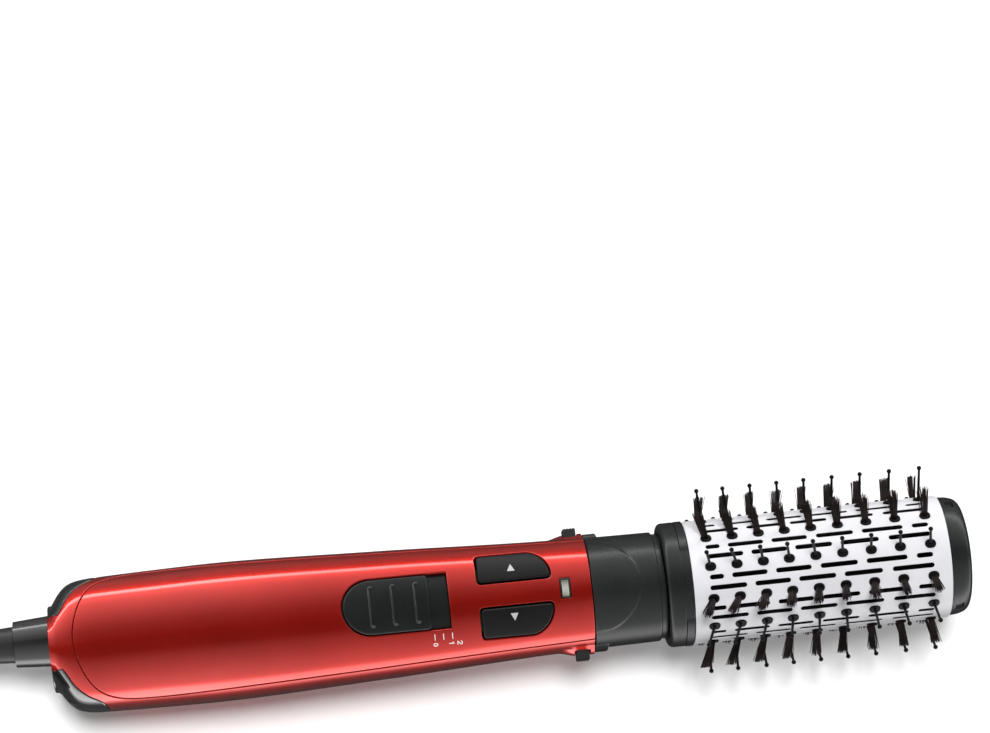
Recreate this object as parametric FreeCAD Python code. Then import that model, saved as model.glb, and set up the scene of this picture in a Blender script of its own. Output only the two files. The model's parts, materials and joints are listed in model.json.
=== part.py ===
import FreeCAD, Part
import math
import os
from FreeCAD import Vector as V

# Rotating hot-air hair brush, built in millimetres.
# The parts are drawn in the body's own frame: X runs along the handle's centre line from the
# rear end face (x = 0) to the brush's tip, Z is the normal of the face that carries the buttons.
# At the end the whole body is tilted and set down, as it lies on a table on the rear of its
# handle and on the lowest bristle pins.

# ---------------------------------------------------------------- driving dimensions
BODY_L = 320.7            # rear end face to the tip of the brush
HANDLE_L = 187.65         # painted handle
WALL = 2.0                # wall of the handle shell
SEAM = 0.12               # half of the gap at a moulding seam
ADAPT_X0, ADAPT_X1 = 187.9, 211.4
ADAPT_R0, ADAPT_R1 = 19.4, 19.1
NECK_R = 18.3
RING_X0, RING_X1, RING_R = 213.9, 222.5, 21.75
BARREL_X0, BARREL_X1, BARREL_R, BARREL_RI = 222.6, 312.9, 21.5, 19.9
CAP_X1, CAP_R, CAP_TIP_R = 320.7, 20.8, 18.0
ROW_STEP = 30.0           # twelve bristle rows, pins and tufts in turn
PIN_ROWS = [5.0, 65.0, 125.0, 185.0, 245.0, 305.0]
TUFT_ROWS = [35.0, 95.0, 155.0, 215.0, 275.0, 335.0]
ROW_X = [229.2, 238.4, 247.6, 256.7, 266.0, 275.4, 285.4, 295.6, 306.2]
PIN_TIP_R = 33.1          # reach of the ball tips from the centre line
PIN_BALL_R, PIN_SHAFT_R = 0.80, 0.42
PIN_LEAN = 4.6            # degrees, round the barrel
PIN_FAN = (-8.0, 7.0)     # degrees, along the barrel, first and last column
TUFT_TIP_R = 31.2
# rows that have taken a set in use: offset of the tips along the barrel, in mm, column by column
PIN_SET = {5.0: (-2.05, -2.6, -1.9, -1.6, -2.0, -1.2, -1.1, -1.1, -1.15),
           65.0: (-0.5, -0.5, -0.1, 0.3, 0.55, 1.2, 1.15, 1.35, 1.45),
           245.0: (-0.4, -0.05, 0.9, 1.45, 1.9, 2.2, 2.2, 2.7, 2.7),
           305.0: (-3.8, -3.8, -3.5, -2.5, -2.15, -1.55, -0.6, -0.3, 0.0)}
TUFT_SET = {35.0: (-2.5, -2.35, -2.3, -1.7, -1.45, -0.5, -0.8, -0.65, 0.0),
            95.0: (1.9, 1.65, 1.4, 1.9, 1.7, 2.1, 2.0, 1.9, 1.1),
            275.0: (-4.0, -3.9, -3.5, -3.1, -1.9, -1.65, -1.2, -0.4, 0.0),
            335.0: (-3.7, -3.9, -3.1, -2.1, -1.9, -1.6, -1.0, -0.4, 0.3)}
TUFT_LEAN = {35.0: 7.5, 335.0: -4.0}    # degrees, round the barrel; 2.5 for the others
SLOT_W = 1.65
SLOTS_A = [(228.5, 233.4), (236.3, 248.6), (251.6, 264.0), (267.2, 280.2), (283.3, 297.6), (300.9, 306.6)]
SLOTS_B = [(228.3, 241.1), (244.0, 256.4), (259.3, 272.2), (275.2, 288.6), (292.1, 306.7)]
EYE_L, EYE_W = 3.7, 2.9   # oval foot of a pin or tuft
SWITCH_TRAVEL = 6.1
SLEEVE_Y, SLEEVE_Z = 2.3, 5.5
SLEEVE_X0, SLEEVE_R0, SLEEVE_R1 = -11.7, 7.9, 8.75
RELIEF_X0, RELIEF_R0, RELIEF_R1 = -47.0, 4.1, 6.3
SHAFT_R = 2.5
GEAR_M, GEAR_Z, PINION_Z, GEAR_PA = 0.6, 32, 12, 25.0
GEAR_C = GEAR_M * (GEAR_Z + PINION_Z) / 2
CORD_D = 6.5
PLUG_PIN_R, PLUG_PIN_L, PLUG_PITCH = 2.0, 19.0, 19.0
TILT = 2.44               # degrees, brush end up, as the body lies
SHIFT = (-136.87, 0.0, 22.95)   # puts the origin under the middle of the body, on the floor

# half width, front depth, rear depth and squareness of the handle's section along X
STATIONS = [
    (-2.0, 10.5, 15.6, 12.5, 2.30), (0.4, 12.8, 16.8, 14.6, 2.30), (2.2, 15.4, 17.9, 16.9, 2.32), (4.6, 18.9, 19.1, 19.4, 2.34),
    (7.6, 21.5, 20.4, 21.4, 2.36), (11.5, 22.7, 21.6, 22.7, 2.38), (18.0, 23.15, 22.6, 23.5, 2.40),
    (28.0, 23.4, 23.3, 24.1, 2.40), (41.0, 23.65, 23.8, 24.6, 2.40), (56.0, 23.85, 24.0, 24.8, 2.40),
    (72.0, 23.65, 23.75, 24.6, 2.40), (89.0, 23.1, 23.15, 24.1, 2.40), (106.0, 22.45, 22.35, 23.3, 2.38),
    (123.0, 21.85, 21.6, 22.5, 2.36), (140.0, 21.1, 20.8, 21.6, 2.32), (156.0, 20.4, 20.3, 20.8, 2.25),
    (172.0, 19.85, 19.9, 20.1, 2.15), (187.65, 19.6, 19.6, 19.6, 2.04), (192.0, 19.55, 19.55, 19.55, 2.0)]


# ---------------------------------------------------------------- helpers
def at(x):
    for a, b in zip(STATIONS, STATIONS[1:]):
        if a[0] <= x <= b[0]:
            t = (x - a[0]) / (b[0] - a[0])
            return tuple(p + (q - p) * t for p, q in zip(a, b))
    return STATIONS[0] if x < STATIONS[0][0] else STATIONS[-1]


def section(st, off):
    x, w, zt, zb, n = st
    pts, num = [], 28
    for k in range(num):
        a = 2 * math.pi * (k + 0.5) / num
        c, s = math.cos(a), math.sin(a)
        y = (w + off) * math.copysign(abs(c) ** (2 / n), c)
        z = ((zt if s > 0 else zb) + off) * math.copysign(abs(s) ** (2 / n), s)
        pts.append(V(x, y, z))
    b = Part.BSplineCurve()
    b.interpolate(Points=pts, PeriodicFlag=True)
    return Part.Wire([b.toShape()])


def loft(off, x0, x1):
    st = [at(x0)] + [s for s in STATIONS if x0 + 1.2 < s[0] < x1 - 1.2] + [at(x1)]
    st[0] = (x0,) + tuple(st[0][1:])
    st[-1] = (x1,) + tuple(st[-1][1:])
    return Part.makeLoft([section(s, off) for s in st], True, False)


def box(x0, x1, y0, y1, z0, z1):
    return Part.makeBox(x1 - x0, y1 - y0, z1 - z0, V(x0, y0, z0))


def cyl(r, x0, x1, y=0.0, z=0.0):
    return Part.makeCylinder(r, x1 - x0, V(x0, y, z), V(1, 0, 0))


def cone(r0, r1, x0, x1, y=0.0, z=0.0):
    return Part.makeCone(r0, r1, x1 - x0, V(x0, y, z), V(1, 0, 0))


def tube(ro, ri, x0, x1, y=0.0, z=0.0):
    return cyl(ro, x0, x1, y, z).cut(cyl(ri, x0 - 1, x1 + 1, y, z))


def about_x(shape, deg):
    """Turns a copy of the shape about the centre line; positive goes from +Z towards +Y."""
    s = shape.copy()
    s.rotate(V(0, 0, 0), V(1, 0, 0), -deg)
    return s


def prism(points, z0, z1):
    """Straight-sided prism along Z from points in X, Y."""
    w = Part.makePolygon([V(x, y, z0) for x, y in points] + [V(points[0][0], points[0][1], z0)])
    return Part.Face(w).extrude(V(0, 0, z1 - z0))


def prism_edges(edges, height):
    return Part.Face(Part.Wire(Part.__sortEdges__(edges))).extrude(V(0, 0, height))


def seg(a, b, z):
    return Part.LineSegment(V(a[0], a[1], z), V(b[0], b[1], z)).toShape()


def arc(a, m, b, z):
    return Part.Arc(V(a[0], a[1], z), V(m[0], m[1], z), V(b[0], b[1], z)).toShape()


def smooth(pts, z):
    c = Part.BSplineCurve()
    c.interpolate(Points=[V(x, y, z) for x, y in pts])
    return c.toShape()


def fuse(shapes):
    s = shapes[0]
    for t in shapes[1:]:
        s = s.fuse(t)
    return s


def revolve(profile):
    """Solid of revolution about the centre line from points in x, r."""
    w = Part.makePolygon([V(x, 0, r) for x, r in profile] + [V(profile[0][0], 0, profile[0][1])])
    return Part.Face(w).revolve(V(0, 0, 0), V(1, 0, 0), 360)


def gear(teeth, m, x0, x1, cy, cz, tip_dir, tooth_at_dir, bore, slack=0.07):
    """Involute spur gear about an axis parallel to X; tip_dir in degrees from +Y towards +Z."""
    pa = math.radians(GEAR_PA)
    rp = m * teeth / 2
    rb, ra, rf = rp * math.cos(pa), rp + 0.85 * m, rp - 1.1 * m
    inv = lambda a: math.tan(a) - a
    half0 = math.pi / (2 * teeth) + inv(pa) - slack / (2 * rp)
    base = math.radians(tip_dir) + (0 if tooth_at_dir else math.pi / teeth)
    pts = []
    for k in range(teeth):
        mid = base + 2 * math.pi * k / teeth
        flank = []
        r_start = max(rb, rf)
        for i in range(4):
            r = r_start + (ra - r_start) * i / 3
            al = math.acos(min(1, rb / r))
            flank.append((r, half0 - inv(al)))
        if rf < rb:
            flank.insert(0, (rf, flank[0][1]))
        pts += [(r, mid - h) for r, h in flank]
        pts += [(r, mid + h) for r, h in reversed(flank)]
    w = [V(x0, cy + r * math.cos(a), cz + r * math.sin(a)) for r, a in pts]
    g = Part.Face(Part.makePolygon(w + [w[0]])).extrude(V(x1 - x0, 0, 0))
    return g.cut(cyl(bore, x0 - 1, x1 + 1, cy, cz)) if bore else g


os.makedirs("parts", exist_ok=True)
parts = {}

# ---------------------------------------------------------------- handle shell
outer = loft(0.0, 0.4, HANDLE_L)
for side in (1, -1):
    swell = cyl(6.4, 181.0, HANDLE_L, side * 14.9, 0).fuse(Part.makeSphere(6.4, V(181.0, side * 14.9, 0)))
    outer = outer.fuse(swell)
inner = loft(-WALL, -2.0, 192.0)
skin = outer.cut(inner)


# outline of the front cover: a long U, open towards the brush
def cover_outline(inset):
    half = [(8.9, 0.0), (9.4, 4.6), (10.7, 9.2), (12.9, 14.0), (16.2, 18.0), (21.5, 20.5), (30.0, 21.55),
            (50.0, 21.75), (86.0, 20.9), (123.0, 19.6), (158.0, 18.3), (188.2, 17.4)]
    up = []
    for i, (x, y) in enumerate(half):
        a = half[max(i - 1, 0)]
        b = half[min(i + 1, len(half) - 1)]
        if i == 0:
            n = (-1.0, 0.0)
        else:
            dx, dy = b[0] - a[0], b[1] - a[1]
            ln = math.hypot(dx, dy)
            n = (-dy / ln, dx / ln)
        up.append((x - n[0] * inset, y - n[1] * inset))
    low = [(x, -y) for x, y in reversed(up[1:])]
    pts = low + up
    e = smooth(pts, 8.0)
    close = seg(pts[-1], pts[0], 8.0)
    return prism_edges([e, close], 30.0)


# outline of the black inlet cap: two side wings round a painted tongue, and the whole rear half
def cap_region(inset):
    wing = [(-6, 9.4), (4.6, 9.4), (6.0, 11.6), (7.7, 14.6), (10.2, 17.4), (13.6, 19.8), (17.4, 21.8), (18.6, 23.4), (18.6, 32), (-6, 32)]
    w = []
    for x, y in wing:
        w.append((x - (inset if x > -5 else 0), y + (inset if y < 31 else 0)))
    a = prism(w, -0.01, 32)
    b = prism([(x, -y) for x, y in reversed(w)], -0.01, 32)
    c = box(-6, 18.6 - inset, -32, 32, -32, 0)
    return fuse([a, b, c])


pocket_switch = prism_edges([
    seg((111.0, 9.9), (138.2, 9.9), 8.0), seg((138.2, 9.9), (138.2, -9.9), 8.0), seg((138.2, -9.9), (111.0, -9.9), 8.0),
    arc((111.0, -9.9), (101.1, 0.0), (111.0, 9.9), 8.0)], 30.0)


def button_outline(g, z, h):
    """Plan of the upper rotation button, grown by g."""
    return prism_edges([
        seg((148.9 - g, 4.6 - g), (173.5 + g, 4.6 - g), z), seg((173.5 + g, 4.6 - g), (173.7 + g, 5.9), z),
        arc((173.7 + g, 5.9), (171.6 + g * 0.8, 11.3 + g * 0.5), (167.0, 14.1 + g), z),
        seg((167.0, 14.1 + g), (148.9 - g, 14.1 + g), z), seg((148.9 - g, 14.1 + g), (148.9 - g, 4.6 - g), z)], h)


def mirror_y(s):
    return s.mirror(V(0, 0, 0), V(0, 1, 0))


cover_full = cover_outline(0.0)
shell = skin.cut(cover_full).cut(cap_region(0.0))
shell = shell.cut(box(170, 190, -30, 30, 7.9, 8.0))
# side openings for the two release buttons
for side in (1, -1):
    shell = shell.cut(box(180.7, 186.0, min(side * 12, side * 30), max(side * 12, side * 30), -3.9, 3.9))
# rails that carry the circuit board, joined to the shell's wall
rails = fuse([box(66, 160, 9.8, 30, 9.3, 10.6), box(66, 160, -30, -9.8, 9.3, 10.6)]).common(loft(-WALL + 0.6, 60, 170))
rails = rails.cut(cover_full)
shell = shell.fuse(rails)
# counterbored holes for the two housing screws, in the rear face
SCREWS = [(92.0, 10.5), (92.0, -10.5)]
for sx, sy in SCREWS:
    shell = shell.cut(Part.makeCylinder(1.35, 14, V(sx, sy, -26), V(0, 0, 1)))
    shell = shell.cut(Part.makeCylinder(2.9, 5.4, V(sx, sy, -26), V(0, 0, 1)))
shell = shell.cut(cyl(8.85, -3, 2.7, SLEEVE_Y, SLEEVE_Z))
parts["main_housing"] = [max(shell.Solids, key=lambda s: s.Volume)]

cover = skin.common(cover_outline(SEAM))
cover = cover.cut(pocket_switch)
btn_hole = button_outline(0.40, 8.0, 30.0)
cover = cover.cut(btn_hole).cut(mirror_y(btn_hole))
cover = cover.cut(box(176.8, 180.4, -3.55, 3.55, 8, 30))
parts["front_cover"] = [max(cover.Solids, key=lambda s: s.Volume)]

# ---------------------------------------------------------------- rear inlet cap
cap = skin.common(cap_region(SEAM))
plate = loft(-WALL - 0.05, -2.0, 12.0).common(box(0.6, 2.6, -30, 30, -30, 30))
cap = cap.fuse(plate.cut(box(-5, 5, -9.5, 9.5, 14.3, 30)))
cap = cap.fuse(fuse([box(0.6, 2.6, 9.3, 12.0, -6, 6), box(0.6, 2.6, -12.0, -9.3, -6, 6)]).common(loft(-0.5, -2, 12)))
# louvres through the rounded shoulder
slots = []
for k in range(19):
    deg = 72 + k * 12.0
    slots.append(about_x(box(3.0, 7.4, -0.8, 0.8, 12.0, 30.0), deg))
# grille slots in the end face, below the cord sleeve
for k in range(5):
    slots.append(box(-1, 4, -8.0 + k * 0.0, 8.0, -12.2 + k * 1.95, -11.2 + k * 1.95))
cap = cap.cut(Part.makeCompound(slots))
cap = cap.cut(cyl(8.85, -3, 5, SLEEVE_Y, SLEEVE_Z))
parts["rear_inlet_cap"] = [max(cap.Solids, key=lambda s: s.Volume)]

filt = loft(-WALL - 0.15, 8.0, 24.0).common(box(12.0, 14.0, -30, 30, -30, 30))
filt = filt.cut(cyl(4.4, 5, 20, SLEEVE_Y, SLEEVE_Z + 6))
parts["inlet_filter"] = [filt]

# ---------------------------------------------------------------- cord sleeve and its swivelling strain relief
sleeve = cone(SLEEVE_R0, SLEEVE_R1, SLEEVE_X0, 0.2, SLEEVE_Y, SLEEVE_Z).fuse(cyl(SLEEVE_R1, 0.2, 4.2, SLEEVE_Y, SLEEVE_Z))
sleeve = sleeve.fuse(cyl(9.6, 2.75, 4.2, SLEEVE_Y, SLEEVE_Z))
sleeve = sleeve.cut(cyl(5.2, -13, 6, SLEEVE_Y, SLEEVE_Z))
parts["cord_sleeve"] = [sleeve]
prof = [(SLEEVE_X0 - 0.25, 5.15), (SLEEVE_X0 - 0.25, RELIEF_R1)]
x = SLEEVE_X0 - 0.25
prof.append((-19.0, RELIEF_R1 - 0.45))
ribs = 5
span = (-19.0 - (-45.0)) / ribs
for k in range(ribs):
    xa = -19.0 - k * span
    ra = RELIEF_R1 - 0.45 - (RELIEF_R1 - 0.45 - RELIEF_R0) * k / ribs
    rb_ = RELIEF_R1 - 0.45 - (RELIEF_R1 - 0.45 - RELIEF_R0) * (k + 1) / ribs
    prof += [(xa - 1.2, ra - 0.1), (xa - 1.2, ra - 0.75), (xa - 2.3, ra - 0.8), (xa - 2.3, ra - 0.2), (xa - span, rb_)]
prof += [(RELIEF_X0, RELIEF_R0), (RELIEF_X0, 0.0), (2.0, 0.0), (2.0, 5.15)]
w = Part.makePolygon([V(a, SLEEVE_Y, SLEEVE_Z + r) for a, r in prof] + [V(prof[0][0], SLEEVE_Y, SLEEVE_Z + prof[0][1])])
relief = Part.Face(w).revolve(V(0, SLEEVE_Y, SLEEVE_Z), V(1, 0, 0), 360)
parts["strain_relief"] = [relief]

# ---------------------------------------------------------------- slide switch
skin_plate = loft(-1.75, 95, 145).cut(loft(-2.95, 90, 150))
plate = skin_plate.common(prism_edges([
    seg((111.0, 9.75), (138.05, 9.75), 8.0), seg((138.05, 9.75), (138.05, -9.75), 8.0), seg((138.05, -9.75), (111.0, -9.75), 8.0),
    arc((111.0, -9.75), (101.25, 0.0), (111.0, 9.75), 8.0)], 30.0))
plate = plate.cut(box(112.6, 125.0, -2.4, 2.4, 8, 30))
parts["switch_plate"] = [plate]
knob_plan = prism_edges([
    seg((111.1, 9.5), (131.4, 9.5), 8.0), seg((131.4, 9.5), (131.4, -9.5), 8.0), seg((131.4, -9.5), (111.1, -9.5), 8.0),
    arc((111.1, -9.5), (101.55, 0.0), (111.1, 9.5), 8.0)], 30.0)
knob = loft(0.45, 92, 145).cut(loft(-1.15, 90, 150)).common(knob_plan)
ridge_ring = loft(1.05, 92, 145).cut(loft(-0.2, 90, 150))
for rx in (110.7, 118.5, 126.4):
    knob = knob.fuse(ridge_ring.common(box(rx - 0.55, rx + 0.55, -6.9, 6.9, 8, 30)))
tang = box(113.4, 117.4, -1.9, 1.9, 16.3, 21.0).common(loft(-0.3, 92, 145))
knob = knob.fuse(tang)
parts["switch_knob"] = [max(knob.Solids, key=lambda s: s.Volume)]
sw = box(110.0, 126.5, -4.2, 4.2, 12.05, 15.2).fuse(box(109.0, 110.0, -2.0, 2.0, 12.05, 13.2)).fuse(box(126.5, 127.5, -2.0, 2.0, 12.05, 13.2))
parts["slide_switch_body"] = [sw]

# ---------------------------------------------------------------- rotation buttons
btn_plan = button_outline(0.0, 8.0, 30.0)
btn = loft(0.55, 140, 182).cut(loft(-2.1, 138, 184)).common(btn_plan)
btn = max(btn.Solids, key=lambda s: s.Volume)
stem = Part.makeCylinder(1.5, 3.2, V(160.5, 9.2, 16.1), V(0, 0, 1)).common(loft(-0.4, 140, 182))
btn = btn.fuse(stem)
parts["rotate_button_up"] = [btn]
parts["rotate_button_down"] = [mirror_y(btn)]
tact = box(157.5, 163.5, 6.2, 9.9, 12.05, 14.2).fuse(Part.makeCylinder(1.2, 0.7, V(160.5, 8.4, 14.2), V(0, 0, 1)))
parts["button_switches"] = [tact, mirror_y(tact)]

# ---------------------------------------------------------------- indicator
lens = loft(-0.25, 165, 190).cut(loft(-1.9, 163, 191)).common(box(177.2, 180.0, -3.15, 3.15, 8, 30))
parts["indicator_lens"] = [lens]
rim = loft(0.12, 165, 190).cut(loft(-1.8, 163, 191)).common(box(176.9, 180.3, -3.45, 3.45, 8, 30).cut(box(177.25, 179.95, -3.1, 3.1, 8, 30)))
lens = lens.common(box(177.3, 179.9, -3.05, 3.05, 8, 30))
parts["indicator_lens"] = [lens]
parts["indicator_frame"] = [rim]
parts["indicator_led"] = [box(177.5, 179.7, -1.3, 1.3, 16.55, 17.55)]

# ---------------------------------------------------------------- release buttons
rel = box(181.05, 185.65, 17.6, 22.9, -3.5, 3.5)
edges = [e for e in rel.Edges if abs(e.Vertexes[0].Point.y - e.Vertexes[1].Point.y) > 3]
rel = rel.makeFillet(1.1, edges)
grip = [box(181.6 + k * 1.05, 182.1 + k * 1.05, 22.8, 23.25, -2.6, 2.6) for k in range(4)]
rel = fuse([rel] + grip)
parts["release_button_upper"] = [rel]
parts["release_button_lower"] = [mirror_y(rel)]

# ---------------------------------------------------------------- board and electronics
pcb = box(104.0, 165.0, -10.9, 10.9, 10.7, 12.0)
parts["circuit_board"] = [pcb]
parts["ion_generator"] = [box(68.0, 97.0, -10.7, 10.7, 10.7, 17.0)]

# ---------------------------------------------------------------- fan
duct = tube(19.0, 18.0, 18.0, 50.0)
duct = duct.fuse(tube(13.6, 12.35, 36.0, 50.0))
for k in range(3):
    duct = duct.fuse(about_x(box(38.0, 48.0, -0.8, 0.8, 12.8, 18.4), 60 + 120 * k))
ribs_ = []
for k in range(4):
    ribs_.append(about_x(box(24.0, 46.0, -0.8, 0.8, 18.5, 26.0), 45 + 90 * k))
duct = duct.fuse(Part.makeCompound(ribs_).common(loft(-WALL - 0.08, 20, 60)))
parts["fan_duct"] = [max(duct.Solids, key=lambda s: s.Volume)]
mot = cyl(12.25, 35.0, 58.0).fuse(cyl(4.0, 58.0, 60.0)).fuse(cyl(3.2, 33.6, 35.0))
mot = mot.cut(cyl(1.06, 30, 42))
parts["fan_motor"] = [mot]
parts["fan_shaft"] = [cyl(1.0, 19.0, 41.0)]
hub = cyl(6.2, 21.0, 31.0).cut(cyl(1.0, 15, 40))
blades = []
for k in range(7):
    bl = Part.makeLoft([
        Part.makePolygon([V(21.4, -2.6, 5.6), V(22.3, -3.2, 5.6), V(30.8, 2.6, 5.6), V(29.9, 3.2, 5.6), V(21.4, -2.6, 5.6)]),
        Part.makePolygon([V(22.6, -6.2, 16.6), V(23.4, -6.8, 16.6), V(29.6, 5.6, 16.6), V(28.8, 6.2, 16.6), V(22.6, -6.2, 16.6)])], True, True)
    blades.append(about_x(bl, k * 360.0 / 7))
imp = fuse([hub] + blades)
imp = imp.common(cyl(17.4, 15, 40)).cut(cyl(1.0, 15, 40))
parts["fan_impeller"] = [max(imp.Solids, key=lambda s: s.Volume)]

# ---------------------------------------------------------------- brush drive
parts["drive_motor"] = [cyl(7.0, 62.0, 85.95, 0, -GEAR_C).cut(box(60, 90, 5.6, 9, -GEAR_C - 9, -GEAR_C + 9)).cut(box(60, 90, -9, -5.6, -GEAR_C - 9, -GEAR_C + 9))]
parts["gearhead"] = [cyl(7.0, 86.0, 99.0, 0, -GEAR_C).cut(cyl(1.56, 94, 100, 0, -GEAR_C))]
pin_ = gear(PINION_Z, GEAR_M, 102.0, 107.0, 0, -GEAR_C, 90, False, 0)
parts["motor_pinion"] = [pin_.fuse(cyl(1.5, 94.5, 107.6, 0, -GEAR_C))]
parts["drive_gear"] = [gear(GEAR_Z, GEAR_M, 102.2, 106.8, 0, 0, -90, True, SHAFT_R)]
shaft = cyl(SHAFT_R, 99.4, 190.0)
hexw = [V(190.0, 2.85 * math.cos(math.radians(60 * k)), 2.85 * math.sin(math.radians(60 * k))) for k in range(6)]
shaft = shaft.fuse(Part.Face(Part.makePolygon(hexw + [hexw[0]])).extrude(V(12, 0, 0)))
parts["drive_shaft"] = [shaft]
brg = loft(-WALL - 0.08, 94, 112).common(box(99.2, 101.2, -30, 30, -30, 9.0))
for k in range(6):
    if k not in (3,):
        brg = brg.cut(cyl(4.3, 98, 103, 13.2 * math.sin(math.radians(60 * k + 0)), 13.2 * math.cos(math.radians(60 * k))))
brg = brg.cut(cyl(SHAFT_R + 0.06, 98, 103)).cut(cyl(2.3, 98, 103, 0, -GEAR_C))
parts["bearing_plate"] = [max(brg.Solids, key=lambda s: s.Volume)]
cradle = loft(-WALL - 0.08, 60, 100).common(box(66.0, 97.0, -14.5, 14.5, -30, -9.6))
cradle = cradle.cut(cyl(7.1, 60, 100, 0, -GEAR_C)).cut(box(60, 100, -7.1, 7.1, -GEAR_C, 0)).cut(box(72, 88, -20, 20, -12.5, 0))
for sx, sy in SCREWS:
    cradle = cradle.cut(Part.makeCylinder(1.2, 12, V(sx, sy, -24), V(0, 0, 1)))
parts["motor_cradle"] = sorted(cradle.Solids, key=lambda s: -s.Volume)[:2] if len(cradle.Solids) > 1 else [cradle]
scr = []
for sx, sy in SCREWS:
    s = Part.makeCylinder(2.5, 1.5, V(sx, sy, -20.6 - 1.5), V(0, 0, 1)).fuse(Part.makeCylinder(1.2, 8.0, V(sx, sy, -20.6), V(0, 0, 1)))
    s = s.cut(box(sx - 1.8, sx + 1.8, sy - 0.3, sy + 0.3, -22.3, -21.5)).cut(box(sx - 0.3, sx + 0.3, sy - 1.8, sy + 1.8, -22.3, -21.5))
    scr.append(s)
parts["housing_screws"] = scr

# ---------------------------------------------------------------- heater
hf = []
for k in range(4):
    hf.append(about_x(box(111.5, 163.0, -0.4, 0.4, 3.4, 7.5), 45 + 90 * k))
for xd in (111.5, 162.0):
    d = tube(9.3, 3.3, xd, xd + 1.0)
    for k in range(4):
        d = d.cut(cyl(1.9, xd - 1, xd + 2, 6.3 * math.sin(math.radians(90 * k)), 6.3 * math.cos(math.radians(90 * k))))
    hf.append(d)
parts["heater_frame"] = [fuse(hf)]
parts["heater_coil"] = [Part.makeTorus(7.7, 0.5, V(116.5 + 5.2 * k, 0, 0), V(1, 0, 0)) for k in range(9)]
parts["heater_tube"] = [tube(9.95, 9.45, 110.5, 166.0)]
parts["thermostat"] = [box(128.0, 136.0, -4.0, 4.0, -13.6, -10.0)]

# ---------------------------------------------------------------- outlet grille and socket for the brush head
gr = tube(17.35, 16.35, 174.6, 187.3).fuse(tube(17.0, 14.6, 174.6, 175.2))
gr = gr.cut(box(175.5, 182.0, -4.6, 4.6, 5, 30))
for side in (1, -1):
    gr = gr.cut(box(180.6, 186.1, min(side * 10, side * 30), max(side * 10, side * 30), -3.9, 3.9))
gr = gr.fuse(tube(16.5, 14.6, 173.0, 175.2)).fuse(tube(5.0, SHAFT_R + 0.06, 171.5, 175.2))
for k in range(6):
    gr = gr.fuse(about_x(box(173.0, 175.2, -0.7, 0.7, 4.6, 15.0), 30 + 60 * k))
gr = gr.fuse(tube(11.2, 9.95, 166.1, 175.2))
parts["outlet_grille"] = [gr]

# ---------------------------------------------------------------- brush head: fixed collar
col = cone(ADAPT_R0, ADAPT_R1, ADAPT_X0, ADAPT_X1)
col = col.fuse(cyl(NECK_R, ADAPT_X1, 213.4))
pad = cone(ADAPT_R0 + 0.25, ADAPT_R1 + 0.3, ADAPT_X0, ADAPT_X1).common(prism_edges([
    seg((ADAPT_X0, 15.6), (ADAPT_X0, -15.6), 5.0), seg((ADAPT_X0, -15.6), (193.0, -15.2), 5.0),
    arc((193.0, -15.2), (204.9, 0.0), (193.0, 15.2), 5.0), seg((193.0, 15.2), (ADAPT_X0, 15.6), 5.0)], 30.0))
col = col.fuse(pad)
for side in (1, -1):
    col = col.fuse(box(ADAPT_X0, 192.4, min(side * 15, side * 20.7), max(side * 15, side * 20.7), -3.6, 3.6).common(cyl(20.7, 180, 200)))
col = col.cut(cyl(17.1, 180, 205.0)).cut(cyl(16.4, 204.9, 220))
spig = tube(16.0, 14.4, 177.5, 189.5).fuse(tube(17.6, 14.4, ADAPT_X0, 189.5))
for side in (1, -1):
    spig = spig.cut(box(180.0, 187.0, min(side * 10, side * 18), max(side * 10, side * 18), -4.4, 4.4))
col = col.fuse(spig)
col = col.fuse(tube(8.2, 6.9, 205.0, 212.0))
for k in range(4):
    col = col.fuse(about_x(box(206.0, 211.0, -0.9, 0.9, 7.6, 16.9), 45 + 90 * k))
parts["head_collar"] = [max(col.Solids, key=lambda s: s.Volume)]
parts["spindle_bush"] = [tube(6.85, 6.05, 204.6, 212.4)]

# ---------------------------------------------------------------- brush: ring, spindle, barrel
ring = revolve([(213.9, 18.8), (213.9, 20.7), (214.5, 21.45), (215.4, RING_R), (219.4, RING_R), (219.55, 21.55), (221.9, 21.55), (RING_X1, 21.2),
                (RING_X1, 19.75), (227.0, 19.75), (227.0, 18.3), (216.0, 18.3)])
# raised bayonet lands on the ring
land = []
for k in range(3):
    s = tube(RING_R + 0.25, 20.5, 219.6, 222.3).common(about_x(box(219, 223, -9.5, 9.5, 10, 30), 50 + 120 * k))
    land.append(s)
ring = ring.fuse(land[0]).fuse(land[1]).fuse(land[2])
web = tube(8.0, 6.0, 216.2, 222.0)
for k in range(6):
    web = web.fuse(about_x(box(216.6, 220.6, -0.8, 0.8, 7.6, 18.6), 60 * k))
ring = ring.fuse(web)
parts["brush_ring"] = [max(ring.Solids, key=lambda s: s.Volume)]
hexb = [V(189.0, 3.15 * math.cos(math.radians(60 * k)), 3.15 * math.sin(math.radians(60 * k))) for k in range(6)]
sp = cyl(6.0, 192.6, 312.8).cut(Part.Face(Part.makePolygon(hexb + [hexb[0]])).extrude(V(15, 0, 0)))
sp = sp.cut(cyl(3.4, 208.0, 296.0)).cut(cyl(1.2, 298, 314))
sp = sp.cut(tube(8.0, 5.3, 203.0, 204.2))
parts["spindle"] = [sp]
clip = tube(8.4, 5.3, 203.15, 204.05).cut(box(200, 206, -2.0, 2.0, 3, 12))
parts["retaining_clip"] = [clip]


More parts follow.
